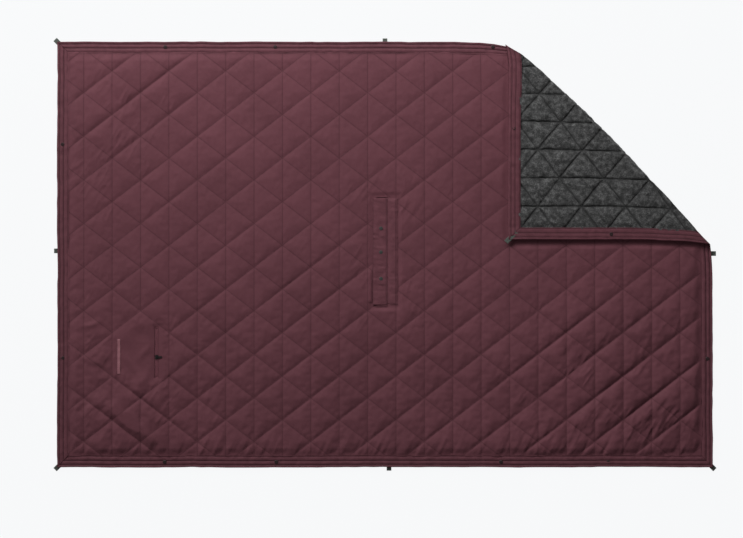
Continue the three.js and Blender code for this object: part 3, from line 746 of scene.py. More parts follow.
def make_binding(name, side, start, end, materials, folded=False):
    """start and end are (place along the edge, slope with the inset)."""
    outward, along = {"top": ((0, 1), (1, 0)), "right": ((1, 0), (0, 1)),
                      "bottom": ((0, -1), (1, 0)), "left": ((-1, 0), (0, 1))}[side]
    edge = HALF_W if side in ("top", "bottom") else HALF_L
    profile = binding_profile()
    if outward[0] * along[1] - outward[1] * along[0] > 0:
        profile = profile[::-1]
    v, z0, on_top = profile.T
    count = int(abs(end[0] - start[0]) / 0.0038) + 2
    tau = np.linspace(0, 1, count)[:, None]
    u = (start[0] + v * start[1]) * (1 - tau) + (end[0] + v * end[1]) * tau
    seed = {"top": 11, "right": 12, "bottom": 13, "left": 14}[side] * 10
    far = np.minimum(np.abs(u - start[0]), np.abs(u - end[0]))
    calm = smooth(far, 0.01, 0.05)
    wave = 0.0013 * noise(u, 0 * u, 0.11, seed) + 0.0007 * noise(u, 0 * u, 0.027, seed + 1)
    out = edge - v + wave * calm * (1 - 0.6 * v / BAND)
    rows = np.exp(-np.min([np.abs(v - row) for row in STITCH_ROWS], axis=0) / 0.0026)
    gather = noise(u, v + 0 * u, 0.0085, seed + 2) * 0.6 + noise(u, 0 * u + v * 0.3, 0.016, seed + 3)
    pull = {"top": 0.8, "right": 0.9, "bottom": 1.25, "left": 0.9}[side]
    relief = 0.0022 * (1 - rows) + 0.00062 * pull * gather * (1 - 0.4 * rows)
    relief = relief + 0.0006 * noise(u, v + 0 * u, 0.07, seed + 4)
    z = np.where(on_top > 0.5, z0 + relief * smooth(on_top, 0.5, 1) - 0.0006 * on_top, z0 - 0 * u)
    across_x, across_y = outward
    x = across_x * out + along[0] * u
    y = across_y * out + along[1] * u
    x, y = pull_in(x, y)
    if folded:
        underside = 0.0009 * (1 - rows) + 0.0005 * gather
        z = np.where(on_top < 0.25, 0.0013 - underside, np.minimum(z, 0.0112))
    rings = np.stack([x, y, z], -1)
    if folded:
        rings = turn_over(rings)
    uv = np.stack([u, v + 0 * u], -1)
    return sweep(name, rings, uv, materials)


def make_roll(name, q0, q1, materials, groove):
    """The fabric bending round at the fold, between two places along it, blended across the hinge."""
    count = int((q1 - q0) / 0.0035) + 2
    q = np.linspace(q0, q1, count)[:, None]
    t = q / FOLD_HALF - 1
    reach = fold_reach(t)
    middle = np.minimum(reach, 0) - 0.002
    phi = np.linspace(-0.5, 0.5, 25) * math.pi
    outer = np.maximum(0.003, reach - middle)
    s_out, z_out = middle + outer * np.cos(phi), FOLD_Z + 0.0113 * np.sin(phi)
    s_in = middle + np.maximum(outer - 0.004, 0.0006) * np.cos(phi[::-1])
    z_in = FOLD_Z + 0.0071 * np.sin(phi[::-1]) + 0 * q
    arc = phi * 0.0113 * 1.2
    flat_x = (FOLD_SUM + math.sqrt(2) * (arc + (q + FOLD_T0))) / 2
    flat_y = (FOLD_SUM + math.sqrt(2) * (arc - (q + FOLD_T0))) / 2
    if groove:
        low = fleece_low(flat_x, flat_y)
        s_out = s_out - np.cos(phi) * (low - 0.0014) * 0.8
        z_out = z_out - np.sin(phi) * (low - 0.0002)
    else:
        inset = np.minimum(q - 0 * arc, 2 * FOLD_HALF - q) / math.sqrt(2)
        rows = np.exp(-np.min([np.abs(inset - row) for row in STITCH_ROWS], axis=0) / 0.0019)
        z_out = z_out - np.sin(phi) * (0.0012 * rows + 0.0004 * noise(arc + 0 * q, q + 0 * arc, 0.009, 61))
        flat_x, flat_y = q + arc, inset
    s, z = np.concatenate([s_out, s_in], 1), np.concatenate([z_out + 0 * q, z_in], 1)
    over = smooth(z, 0.0035, 0.0195)
    along = q + FOLD_T0 - corner_drift(0) * over
    z = z + corner_lift(0, t) * over
    x = (FOLD_SUM / math.sqrt(2) + s + along) / math.sqrt(2)
    y = (FOLD_SUM / math.sqrt(2) + s - along) / math.sqrt(2)
    uv_x, uv_y = np.concatenate([flat_x, flat_x[:, ::-1]], 1), np.concatenate([flat_y, flat_y[:, ::-1]], 1)
    rings = np.stack([x, y, z], -1)
    inside = np.zeros(rings.shape[:2])
    inside[:-1, len(phi) - 1:] = 1
    which = np.append(inside[:-1].ravel(), [0, 0])
    roll = sweep(name, rings, np.stack([uv_x, uv_y], -1), materials, which)
    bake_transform(roll)
    return roll


# ---- materials ----

class Finish:
    """One material, with short calls for its nodes."""

    def __init__(self, name, colour, roughness, **sockets):
        self.material = bpy.data.materials.new(name)
        self.material.use_nodes = True
        self.tree = self.material.node_tree
        self.shader = self.tree.nodes["Principled BSDF"]
        self.shader.inputs["Base Color"].default_value = (*colour, 1)
        self.shader.inputs["Roughness"].default_value = roughness
        for socket, value in sockets.items():
            self.shader.inputs[socket.replace("_", " ")].default_value = value
        self.normal = None

    def node(self, kind, inputs, **settings):
        made = self.tree.nodes.new(kind)
        for key, value in settings.items():
            setattr(made, key, value)
        for key, value in inputs.items():
            self.put(made.inputs[key], value)
        return made

    def put(self, socket, value):
        if isinstance(value, bpy.types.NodeSocket):
            self.tree.links.new(value, socket)
        else:
            socket.default_value = value

    def sum(self, operation, *values):
        return self.node("ShaderNodeMath", dict(enumerate(values)), operation=operation).outputs[0]

    def flat(self):
        return self.node("ShaderNodeUVMap", {}, uv_map="flat").outputs[0]

    def place(self):
        return self.node("ShaderNodeTexCoord", {}).outputs["Object"]

    def xy(self, vector):
        split = self.node("ShaderNodeSeparateXYZ", {0: vector})
        return split.outputs[0], split.outputs[1]

    def noise(self, vector, scale, detail=2.0, rough=0.5):
        return self.node("ShaderNodeTexNoise", {"Vector": vector, "Scale": scale, "Detail": detail,
                                                "Roughness": rough}).outputs[0]

    def ramp(self, value, *stops):
        ramp = self.node("ShaderNodeValToRGB", {0: value})
        elements = ramp.color_ramp.elements
        while len(elements) < len(stops):
            elements.new(1.0)
        for element, (at, colour) in zip(elements, stops):
            element.position = at
            element.color = (*colour, 1)
        return ramp.outputs[0]

    def mix(self, factor, first, second):
        mixer = self.node("ShaderNodeMix", {0: factor}, data_type="RGBA")
        for socket, value in ((mixer.inputs[6], first), (mixer.inputs[7], second)):
            self.put(socket, (*value, 1) if isinstance(value, tuple) else value)
        return mixer.outputs[2]

    def span(self, value, low, high):
        """The value 0..1 stretched to low..high."""
        return self.sum("MULTIPLY_ADD", value, high - low, low)

    def bump(self, height, distance, strength=1.0):
        inputs = {"Height": height, "Distance": distance, "Strength": strength}
        if self.normal:
            inputs["Normal"] = self.normal
        self.normal = self.node("ShaderNodeBump", inputs).outputs[0]

    def done(self, colour=None, roughness=None):
        if colour is not None:
            self.put(self.shader.inputs["Base Color"], colour)
        if roughness is not None:
            self.put(self.shader.inputs["Roughness"], roughness)
        if self.normal:
            self.put(self.shader.inputs["Normal"], self.normal)
        return self.material


def grey(level):
    return (level, level, level)


def scaled(colour, factor):
    return tuple(channel * factor for channel in colour)


def weave(finish, x, y, pitch):
    """A plain weave from 0 to 1: threads over and under by turns."""
    rate = 2 * math.pi / pitch
    over = finish.sum("SINE", finish.sum("MULTIPLY", x, rate))
    under = finish.sum("SINE", finish.sum("MULTIPLY", y, rate))
    return finish.span(finish.sum("MULTIPLY", over, under), 0.5, 1.0)


STITCH_PITCH = 0.0034
STITCH_HALF_WIDTH = 0.0006


def dashes(finish, distance, along, pitch, half_width, part=0.68):
    """1 on a row of stitches, 0 elsewhere."""
    near = finish.sum("LESS_THAN", distance, half_width)
    dash = finish.sum("LESS_THAN", finish.sum("FRACT", finish.sum("DIVIDE", along, pitch)), part)
    return finish.sum("MULTIPLY", near, dash)


def seam_distance(finish, value, pitch, scale):
    """Distance from the nearest of a set of seams, where value is 0 on one of them."""
    part = finish.sum("FRACT", finish.sum("MULTIPLY_ADD", value, 1 / pitch, 0.5))
    off = finish.sum("ABSOLUTE", finish.sum("SUBTRACT", part, 0.5))
    return finish.sum("MULTIPLY", off, pitch * scale)


def seam_stitches(finish, x, y):
    """(distance to the nearest seam, stitches on the seams), with the pocket's panel left plain."""
    dx = finish.sum("SUBTRACT", x, SEAM_X)
    dy = finish.sum("SUBTRACT", y, SEAM_Y)
    rising = finish.sum("MULTIPLY_ADD", dx, -SLOPE, dy)
    falling = finish.sum("MULTIPLY_ADD", dx, SLOPE, dy)
    centre_x, centre_y = PANEL[0] - SEAM_X, PANEL[1] - SEAM_Y
    outside = 0.0
    nearest, stitches = None, None
    for value, pitch, scale, along, centre in (
        (dx, PITCH_X, 1, y, centre_x),
        (rising, PITCH_Y, SLANT, x, centre_y - SLOPE * centre_x),
        (falling, PITCH_Y, SLANT, x, centre_y + SLOPE * centre_x),
    ):
        off = finish.sum("ABSOLUTE", finish.sum("SUBTRACT", value, centre))
        beyond = finish.sum("GREATER_THAN", off, pitch * 0.98)
        outside = finish.sum("MAXIMUM", outside, beyond)
        distance = seam_distance(finish, value, pitch, scale)
        row = dashes(finish, distance, along, STITCH_PITCH, STITCH_HALF_WIDTH)
        nearest = distance if nearest is None else finish.sum("MINIMUM", nearest, distance)
        stitches = row if stitches is None else finish.sum("MAXIMUM", stitches, row)
    plain = finish.sum("MULTIPLY", finish.sum("SUBTRACT", 1.0, outside), 0.05)
    return finish.sum("ADD", nearest, plain), finish.sum("MULTIPLY", stitches, outside)


def near_seam(finish, distance, width):
    """1 on a seam, 0 beyond the width, with a rounded end."""
    away = finish.sum("SMOOTH_MIN", finish.sum("DIVIDE", distance, width), 1.0, 0.3)
    return finish.sum("SUBTRACT", 1.0, away)


NYLON = (0.152, 0.0545, 0.0690)


def nylon(name, colour, quilted=True, crinkle=1.0):
    finish = Finish(name, colour, 0.65, Sheen_Weight=0.015, Sheen_Roughness=0.4, Specular_IOR_Level=0.09)
    place = finish.place()
    x, y = finish.xy(finish.flat())
    cloth = weave(finish, x, y, 0.00055)
    broad = finish.noise(place, 5.0, 2.0)
    fine = finish.noise(place, 90.0, 3.0)
    mixed = finish.sum("ADD", finish.sum("MULTIPLY", broad, 0.6), finish.sum("MULTIPLY", fine, 0.4))
    tone = finish.ramp(mixed, (0.32, scaled(colour, 0.90)), (0.68, scaled(colour, 1.10)))
    if quilted:
        distance, stitches = seam_stitches(finish, x, y)
        # painted shade: the cloth is darkened within 3.5 mm of each seam, where the creases fall into shade
        painted_seam_shade = near_seam(finish, distance, 0.0035)
        tone = finish.mix(finish.sum("MULTIPLY", painted_seam_shade, 0.25), tone, scaled(colour, 0.45))
        # the stitch rows are darkened: partly the thread's own colour, partly painted shade in the seam
        tone = finish.mix(finish.sum("MULTIPLY", stitches, 0.6), tone, scaled(colour, 0.42))
        finish.bump(stitches, 0.0004, 0.7)
    finish.bump(finish.noise(place, 260.0, 2.0), 0.0004 * crinkle, 0.4)
    finish.bump(finish.noise(place, 60.0, 3.0, 0.6), 0.0014 * crinkle, 0.3)
    finish.bump(cloth, 0.00012, 0.5)
    rough = finish.span(finish.noise(place, 40.0, 2.0), 0.54, 0.74)
    return finish.done(tone, rough)


def binding_cloth(name, colour, stitch_rows, shade):
    finish = Finish(name, colour, 0.62, Sheen_Weight=0.015, Sheen_Roughness=0.4, Specular_IOR_Level=0.11)
    place = finish.place()
    x, y = finish.xy(finish.flat())
    streaks = finish.noise(place, 60.0, 3.0)
    tone = finish.ramp(streaks, (0.3, scaled(colour, 0.86)), (0.7, scaled(colour, 1.12)))
    rows, sunk = 0.0, 0.0
    for row in stitch_rows:
        distance = finish.sum("ABSOLUTE", finish.sum("SUBTRACT", y, row))
        rows = finish.sum("MAXIMUM", rows, dashes(finish, distance, x, STITCH_PITCH, STITCH_HALF_WIDTH))
        # painted shade: the cloth beside each stitch row, the sunk mask, is darkened towards 0.30 of its
        # colour, by `shade`
        painted_row_shade = finish.sum("SUBTRACT", 1.0, finish.sum("DIVIDE", distance, 0.0030))
        sunk = finish.sum("MAXIMUM", sunk, painted_row_shade)
    tone = finish.mix(finish.sum("MULTIPLY", sunk, shade), tone, scaled(colour, 0.30))
    tone = finish.mix(finish.sum("MULTIPLY", rows, 0.65), tone, scaled(colour, 0.35))
    finish.bump(rows, 0.0004, 0.7)
    finish.bump(finish.noise(place, 150.0, 3.0, 0.6), 0.0010, 0.5)
    finish.bump(weave(finish, x, y, 0.0006), 0.00012, 0.5)
    return finish.done(tone, finish.span(finish.noise(place, 45.0), 0.50, 0.70))


def fleece_cloth(name):
    finish = Finish(name, (0.06, 0.06, 0.062), 0.95,
                    Sheen_Weight=0.35, Sheen_Roughness=0.55, Specular_IOR_Level=0.1)
    place = finish.place()
    x, y = finish.xy(finish.flat())
    tufts = finish.noise(place, 330.0, 4.0, 0.65)
    clumps = finish.noise(place, 75.0, 3.0, 0.6)
    mixed = finish.sum("MULTIPLY_ADD", clumps, 0.5, finish.sum("MULTIPLY", tufts, 0.5))
    tone = finish.ramp(mixed, (0.38, grey(0.019)), (0.50, grey(0.055)), (0.64, grey(0.160)))
    sway = finish.sum("MULTIPLY_ADD", finish.noise(place, 60.0, 2.0), 0.006, -0.003)
    distance, _ = seam_stitches(finish, finish.sum("ADD", x, sway), finish.sum("ADD", y, sway))
    # painted shade: the fleece is darkened almost to black along its seams, where the pile sinks into the
    # grooves
    sunk = near_seam(finish, distance, 0.0056)
    tone = finish.mix(finish.sum("MULTIPLY", sunk, 0.8), tone, grey(0.008))
    finish.bump(mixed, 0.0030, 0.7)
    finish.bump(finish.noise(place, 700.0, 2.0), 0.0008, 0.5)
    return finish.done(tone, finish.span(tufts, 0.85, 1.0))


def webbing_cloth(name):
    finish = Finish(name, (0.10, 0.12, 0.10), 0.8, Sheen_Weight=0.2, Specular_IOR_Level=0.25)
    x, y = finish.xy(finish.flat())
    threads = weave(finish, x, y, 0.0024)
    ribs = finish.span(finish.sum("SINE", finish.sum("MULTIPLY", y, 2600.0)), 0.5, 1.0)
    tone = finish.ramp(threads, (0.25, (0.028, 0.034, 0.030)), (0.75, (0.165, 0.190, 0.165)))
    finish.bump(threads, 0.0005, 0.9)
    finish.bump(ribs, 0.0002, 0.6)
    return finish.done(tone, finish.span(threads, 0.7, 0.9))


def tape_cloth(name, colour):
    """The herringbone tape of the zip."""
    finish = Finish(name, colour, 0.75, Sheen_Weight=0.05, Specular_IOR_Level=0.2)
    x, y = finish.xy(finish.flat())
    slant = finish.sum("MULTIPLY_ADD", finish.sum("PINGPONG", y, 0.0016), 0.8, x)
    threads = finish.span(finish.sum("SINE", finish.sum("MULTIPLY", slant, 7000.0)), 0.5, 1.0)
    tone = finish.ramp(threads, (0.2, scaled(colour, 0.75)), (0.8, scaled(colour, 1.15)))
    finish.bump(threads, 0.0002, 0.7)
    return finish.done(tone, finish.span(threads, 0.65, 0.85))


def plastic(name, colour, roughness, coat=0.25):
    finish = Finish(name, colour, roughness,
                    Coat_Weight=coat, Coat_Roughness=0.18, Specular_IOR_Level=coat + 0.1)
    place = finish.place()
    marks = finish.noise(place, 420.0, 4.0, 0.6)
    tone = finish.ramp(marks, (0.35, scaled(colour, 0.85)), (0.7, scaled(colour, 1.2)))
    finish.bump(marks, 0.0001, 0.3)
    return finish.done(tone, finish.span(marks, roughness * 0.8, roughness * 1.3))


def metal(name, colour, roughness):
    finish = Finish(name, colour, roughness, Metallic=0.85)
    place = finish.place()
    brushed = finish.noise(place, 900.0, 4.0, 0.7)
    tone = finish.ramp(brushed, (0.3, scaled(colour, 0.8)), (0.7, scaled(colour, 1.15)))
    finish.bump(brushed, 0.00006, 0.4)
    return finish.done(tone, finish.span(brushed, roughness * 0.8, roughness * 1.4))


def ribbon_cloth(name):
    colour = (0.33, 0.125, 0.150)
    finish = Finish(name, colour, 0.5, Sheen_Weight=0.2, Anisotropic=0.3)
    x, y = finish.xy(finish.flat())
    threads = weave(finish, x, y, 0.0009)
    ribs = finish.span(finish.sum("SINE", finish.sum("MULTIPLY", x, 3600.0)), 0.5, 1.0)
    edge = finish.sum("ABSOLUTE", y)
    hem = dashes(finish, finish.sum("ABSOLUTE", finish.sum("SUBTRACT", edge, 0.0036)), x, 0.003, 0.0004)
    tone = finish.ramp(threads, (0.2, scaled(colour, 0.8)), (0.8, scaled(colour, 1.15)))
    tone = finish.mix(finish.sum("MULTIPLY", hem, 0.7), tone, scaled(colour, 0.4))
    finish.bump(threads, 0.0002, 0.6)
    finish.bump(ribs, 0.00015, 0.5)
    return finish.done(tone, finish.span(threads, 0.42, 0.6))


def floor_finish():
    finish = Finish("backdrop", grey(0.035), 0.95, Specular_IOR_Level=0.0,
                    Emission_Color=(0.990, 1.0, 1.010, 1), Emission_Strength=0.924)
    tone = finish.ramp(finish.noise(finish.place(), 2.0), (0.3, grey(0.034)), (0.7, grey(0.036)))
    return finish.done(tone)


# ---- small pieces ----

def keep(piece, body, slot, *nodes):
    """Puts a piece on its body and hides the CAD nodes that it stands for. The finish slot is not used."""
    if body:
        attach(piece, body)
    if nodes:
        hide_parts(*nodes)
    return piece


def middle(node):
    low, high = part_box(node)
    return (low + high) / 2


# (radius, height) in millimetres, upwards round the outside
SNAP_SHAPE = [(0.3, 0.5), (1.6, 0.5), (2.0, 0.2), (5.0, 0.2), (5.5, 0.7), (5.3, 1.3), (2.4, 1.6),
              (2.3, 9.9), (5.2, 10.0), (5.8, 10.5), (5.7, 11.1), (5.0, 11.6), (4.2, 11.8), (3.9, 11.65),
              (3.3, 11.75), (2.0, 12.0), (0.3, 12.05)]
NECK_CAP_SHAPE = [(0.3, 11.0), (3.1, 11.0), (3.3, 11.3), (3.3, 12.2), (4.9, 12.3), (5.5, 12.7), (5.4, 13.2),
                  (4.8, 13.7), (4.0, 13.85), (3.7, 13.7), (3.1, 13.8), (1.9, 14.0), (0.3, 14.05)]
NECK_STUD_SHAPE = [(0.3, 9.4), (4.4, 9.5), (4.9, 9.9), (4.8, 10.4), (4.2, 10.7), (2.1, 10.72), (1.8, 10.75),
                   (1.7, 10.9), (0.3, 10.95)]


def in_metres(shape):
    return [(r / 1000, z / 1000) for r, z in shape]


def make_snaps(finish):
    """The snaps all round the border. Two of them are on the folded corner."""
    for name in sorted(frame["nodes"]):
        if not name.startswith("snap_"):
            continue
        centre = middle(name)
        folded = name in CORNER_NODES
        x, y = (FOLD_SUM - centre.y, FOLD_SUM - centre.x) if folded else (centre.x, centre.y)
        snap = lathe(name + "_dome", in_metres(SNAP_SHAPE), x, y, [finish],
                     turn=turn_over if folded else None)
        keep(snap, "corner" if folded else "blanket", "dark_snap", name)


def make_neck_snaps(finish):
    parts = (("cap", NECK_CAP_SHAPE, "neck_flap_body"), ("stud", NECK_STUD_SHAPE, "blanket"))
    for number in (1, 2, 3):
        for part, shape, body in parts:
            node = f"neck_snap_{part}_{number}"
            centre = middle(node)
            snap = lathe(node + "_dome", in_metres(shape), centre.x, centre.y, [finish])
            keep(snap, body, "grey_snap", node)


# which way each loop points, in degrees
LOOP_TURNS = {"mid_right": 0, "corner_top_right": 45, "mid_top": 90, "corner_top_left": 135,
              "mid_left": 180, "corner_bottom_left": 225, "mid_bottom": 270, "corner_bottom_right": 315}
LOOP_REACH = 0.010
LOOP_TUCK = 0.034
LOOP_BEND = 0.0009             # radius of the fold at the loop's end


def make_loops(finish):
    """Webbing folded double under the border, with the fold past its edge."""
    nose = np.linspace(0.5, -0.5, 9) * math.pi
    tip = LOOP_REACH - 0.001
    r = np.concatenate([np.linspace(-LOOP_TUCK, tip, 16), tip + LOOP_BEND * np.cos(nose[1:-1]),
                        np.linspace(tip, -LOOP_TUCK, 16)])
    z = np.concatenate([np.full(16, 0.0030), 0.0021 + LOOP_BEND * np.sin(nose[1:-1]), np.full(16, 0.0012)])
    for name, turn in LOOP_TURNS.items():
        node = "loop_" + name
        folded = node in CORNER_NODES
        centre = middle(node)
        if folded:
            at_x, at_y = HALF_L, HALF_W
        else:
            at_x = {-1: -HALF_L, 0: centre.x, 1: HALF_L}[round(math.cos(math.radians(turn)) * 1.01)]
            at_y = {-1: -HALF_W, 0: centre.y, 1: HALF_W}[round(math.sin(math.radians(turn)) * 1.01)]
        out = np.array([math.cos(math.radians(turn)), math.sin(math.radians(turn)), 0])
        side = np.array([-out[1], out[0], 0])
        path = np.array([at_x, at_y, 0]) + r[:, None] * out + z[:, None] * np.array([0, 0, 1])
        loop = strap(node + "_webbing", path, side, 0.014, 0.0011, [finish],
                     turn=turn_over if folded else None)
        keep(loop, "corner" if folded else "blanket", "webbing", node)
        ADD_ONS["corner" if folded else "blanket"].append(loop)


def flat_panel(name, x0, x1, y0, y1, step, top, bottom, flat, materials):
    xs = np.linspace(x0, x1, max(2, round((x1 - x0) / step)) + 1)
    ys = np.linspace(y0, y1, max(2, round((y1 - y0) / step)) + 1)
    mask = np.ones((len(ys) - 1, len(xs) - 1), bool)
    return grid_shell(name, xs, ys, mask, lambda x, y: stack(x, y, top(x, y)),
                      lambda x, y: stack(x, y, bottom(x, y)), flat, materials)


def make_neck(flap_finish, facing_finish, tack_finish):
    """The flap that covers the neck opening, the facing beside it, the slit's lining and the end tacks."""
    x0, x1, y0, y1 = FLAP_LOW.x, FLAP_HIGH.x + 0.0018, FLAP_LOW.y, FLAP_HIGH.y

    def flap_top(x, y):
        ripple = 0.0008 * noise(0.3 * x, y + 0.1 * x, 0.0075, 81) + 0.0006 * noise(x, y, 0.022, 82)
        groove = 0.0004 * np.exp(-((x1 - 0.003 - x) / 0.0012) ** 2)
        edge = np.minimum(x - x0, np.minimum(y - y0, y1 - y))
        from_hinge = smooth(x1 - x, 0, 0.016)
        return 0.0121 + from_hinge * (0.0005 + ripple) - groove - 0.0004 * (1 - smooth(edge, 0, 0.002))

    flap = flat_panel("neck_flap_cloth", x0, x1, y0, y1, 0.0018, flap_top, lambda x, y: FLAP_LOW_Z + 0 * x,
                      lambda x, y: np.stack([y, x1 - x], -1), [flap_finish])
    keep(flap, "neck_flap_body", "face_nylon", "neck_flap")

    f0, f1 = x1 + 0.0002, FACING_HIGH.x

    def facing_top(x, y):
        ripple = 0.0006 * noise(0.3 * x, y, 0.0085, 83) + 0.0005 * noise(x, y, 0.02, 84)
        groove = 0.0004 * np.exp(-((f1 - 0.0055 - x) / 0.0012) ** 2)
        edge = np.minimum(f1 - x, np.minimum(y - y0, y1 - y))
        from_hinge = smooth(x - f0, 0, 0.016)
        return 0.0113 + from_hinge * (0.0009 + ripple) - groove - 0.0014 * (1 - smooth(edge, 0, 0.008))

    facing = flat_panel("neck_facing_cloth", f0, f1, y0, y1, 0.002, facing_top, lambda x, y: 0.0097 + 0 * x,
                        lambda x, y: np.stack([y, x - f0], -1), [facing_finish])
    keep(facing, "blanket", "face_nylon", "neck_facing")

    low, high = 0.0003, 0.0102
    for name, start, end in (
        ("left", (-0.0049, SLIT_LOW.y), (-0.0049, SLIT_HIGH.y)),
        ("right", (0.0054, SLIT_LOW.y), (0.0054, SLIT_HIGH.y)),
        ("top", (-0.0049, SLIT_HIGH.y), (0.0054, SLIT_HIGH.y)),
        ("bottom", (-0.0049, SLIT_LOW.y), (0.0054, SLIT_LOW.y)),
    ):
        count = max(4, int(math.dist(start, end) / 0.004))
        path = np.stack([np.linspace(start[0], end[0], count), np.linspace(start[1], end[1], count),
                         np.full(count, (low + high) / 2)], -1)
        wall = strap("neck_lining_" + name, path, (0, 0, 1), high - low, 0.0008, [tack_finish])
        keep(wall, "blanket", "border_binding", "neck_slit_lining")
        ADD_ONS["blanket"].append(wall)

    for node in ("neck_tack_top", "neck_tack_bottom"):
        tack_low, tack_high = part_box(node)
        count = 30
        x = np.linspace(tack_low.x, tack_high.x, count)
        y = (tack_low.y + tack_high.y) / 2 + 0.0004 * np.sin(np.arange(count) * math.pi / 2)
        z = np.full(count, 0.0113) + 0.0002 * np.cos(np.arange(count) * math.pi)
        tack = strap(node + "_stitches", np.stack([x, y, z], -1), (0, 1, 0), 0.003, 0.0014, [tack_finish])
        keep(tack, "blanket", "border_binding", node)
        ADD_ONS["blanket"].append(tack)


def make_pocket(face_height, tape_finish, bag_finish, label_finish):
    """The zip's tapes, the bag behind it and the plain ribbon sewn beside it."""
    for side in ("left", "right"):
        low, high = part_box("zip_tape_" + side)
        tape = flat_panel("zip_tape_" + side + "_woven", low.x, high.x, low.y, high.y, 0.002,
                          lambda x, y: 0.0092 + 0.00012 * noise(x, y, 0.004, 85),
                          lambda x, y: 0.0083 + 0 * x,
                          lambda x, y: np.stack([y, x - ZIP_X], -1), [tape_finish])
        keep(tape, "blanket", "zip_tape", "zip_tape_" + side)
        ADD_ONS["blanket"].append(tape)
    low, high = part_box("pocket_bag")
    bag = flat_panel("pocket_bag_cloth", low.x, high.x, low.y, high.y, 0.006,
                     lambda x, y: 0.0080 + 0.0002 * noise(x, y, 0.02, 86), lambda x, y: 0.0070 + 0 * x,
                     lambda x, y: np.stack([x, y], -1), [bag_finish])
    keep(bag, "blanket", "face_nylon", "pocket_bag")

    middle_x = (RIBBON_LOW.x + RIBBON_HIGH.x) / 2
    y = np.linspace(RIBBON_LOW.y, RIBBON_HIGH.y, 60)
    across = (-0.004, -0.002, 0, 0.002, 0.004)
    z = np.max([face_height(middle_x + dx + 0 * y, y) for dx in across], axis=0) + 0.0003
    path = np.stack([middle_x + 0 * y, y, z], -1)
    width = RIBBON_HIGH.x - RIBBON_LOW.x
    ribbon = strap("pocket_ribbon_satin", path, (-1, 0, 0), width, 0.0006, [label_finish])
    keep(ribbon, "blanket", "ribbon", "pocket_ribbon")
    ADD_ONS["blanket"].append(ribbon)


# ---- everything together ----

CORNER_NODES = {name for name, node in frame["nodes"].items() if node["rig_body"] == "corner"}
ADD_ONS = {"blanket": [], "corner": []}

face_finish = nylon("quilted_nylon", NYLON)
flap_finish = binding_cloth("flap_nylon", NYLON, FLAP_STITCH_ROWS, 0.35)
facing_finish = binding_cloth("facing_nylon", NYLON, FACING_STITCH_ROWS, 0.2)
border_finish = binding_cloth("border_nylon", scaled(NYLON, 0.94), STITCH_ROWS, 0.5)
plain_finish = nylon("plain_nylon", scaled(NYLON, 0.9), quilted=False)
fleece_finish = fleece_cloth("fleece")
fibre_finish = fleece_cloth("fibre_filling")
webbing_finish = webbing_cloth("loop_webbing")
dark_snap_finish = plastic("dark_snap_plastic", (0.030, 0.016, 0.017), 0.30)
grey_snap_finish = plastic("grey_snap_plastic", (0.050, 0.054, 0.050), 0.36)
# painted light: the zip's tape and coil are lighter than the face nylon (x1.6, x1.5), to offset the shadow
# in the zip's slot
zip_tape_finish = tape_cloth("zip_tape_weave", scaled(NYLON, 1.6))
coil_finish = plastic("zip_coil_plastic", scaled(NYLON, 1.5), 0.6, coat=0.0)
zip_metal_finish = metal("zip_metal", (0.055, 0.052, 0.052), 0.36)
label_finish = ribbon_cloth("ribbon_satin")

# the quilted panel on the ground
face, face_grid = make_face([face_finish])
face_height = sampler(*face_grid)
keep(face, "blanket", "face_nylon", "face_shell")


def level(z):
    return lambda x, y: z + 0 * x


def filling_top(x, y):
    """The filling is pressed down under the pocket's bag."""
    low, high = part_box("pocket_bag")
    bag = in_box(x, y, low.x - 0.004, high.x + 0.004, low.y - 0.004, high.y + 0.004, 0.006)
    return FILLING_TOP_Z - 0.0019 * bag


def backing_bottom(x, y):
    return np.maximum(fleece_low(x, y, 0.6) * 0.6, 0)


def corner_face_top(x, y):
    return SEAM_Z + 0.0011 * puff(x, y, FACE_SEAMS) + 0.0002 * puckers(x, y, 0.02, 41)


filling = make_layer("filling", filling_top, level(FILLING_LOW_Z), [fibre_finish], -1)
keep(filling, "blanket", "filling", "insulation")
backing = make_layer("fleece_back", level(FLEECE_TOP_Z), backing_bottom, [fleece_finish], -1)
keep(backing, "blanket", "fleece", "fleece_backing")

# the corner that is folded over
corner_face = make_layer("corner_face_cloth", corner_face_top, level(CORNER_FACE_LOW_Z), [face_finish], 1,
                         step=1)
keep(corner_face, "corner", "face_nylon", "corner_face_shell")
corner_filling = make_layer("corner_filling", level(FILLING_TOP_Z), level(FILLING_LOW_Z), [fibre_finish], 1)
keep(corner_filling, "corner", "filling", "corner_insulation")
corner_pile = make_corner_fleece([fleece_finish])
keep(corner_pile, "corner", "fleece", "corner_fleece")

# the border, mitred at the corners and cut on the slant at the fold
ON_TOP, ON_RIGHT = FOLD_SUM - HALF_W, FOLD_SUM - HALF_L
BORDERS = {
    "binding_left": ("left", (-HALF_W, 1), (HALF_W, -1), False),
    "binding_bottom": ("bottom", (-HALF_L, 1), (HALF_L, -1), False),
    "binding_top": ("top", (-HALF_L, 1), (ON_TOP - 0.0003, 1), False),
    "binding_right": ("right", (-HALF_W, 1), (ON_RIGHT - 0.0003, 1), False),
    "corner_binding_top": ("top", (ON_TOP + 0.0003, 1), (HALF_L, -1), True),
    "corner_binding_right": ("right", (ON_RIGHT + 0.0003, 1), (HALF_W, -1), True),
}
for node, (side, start, end, folded) in BORDERS.items():
    border = make_binding(node + "_cloth", side, start, end, [border_finish], folded)
    keep(border, "corner" if folded else "blanket", "border_binding", node)
    ADD_ONS["corner" if folded else "blanket"].append(border)

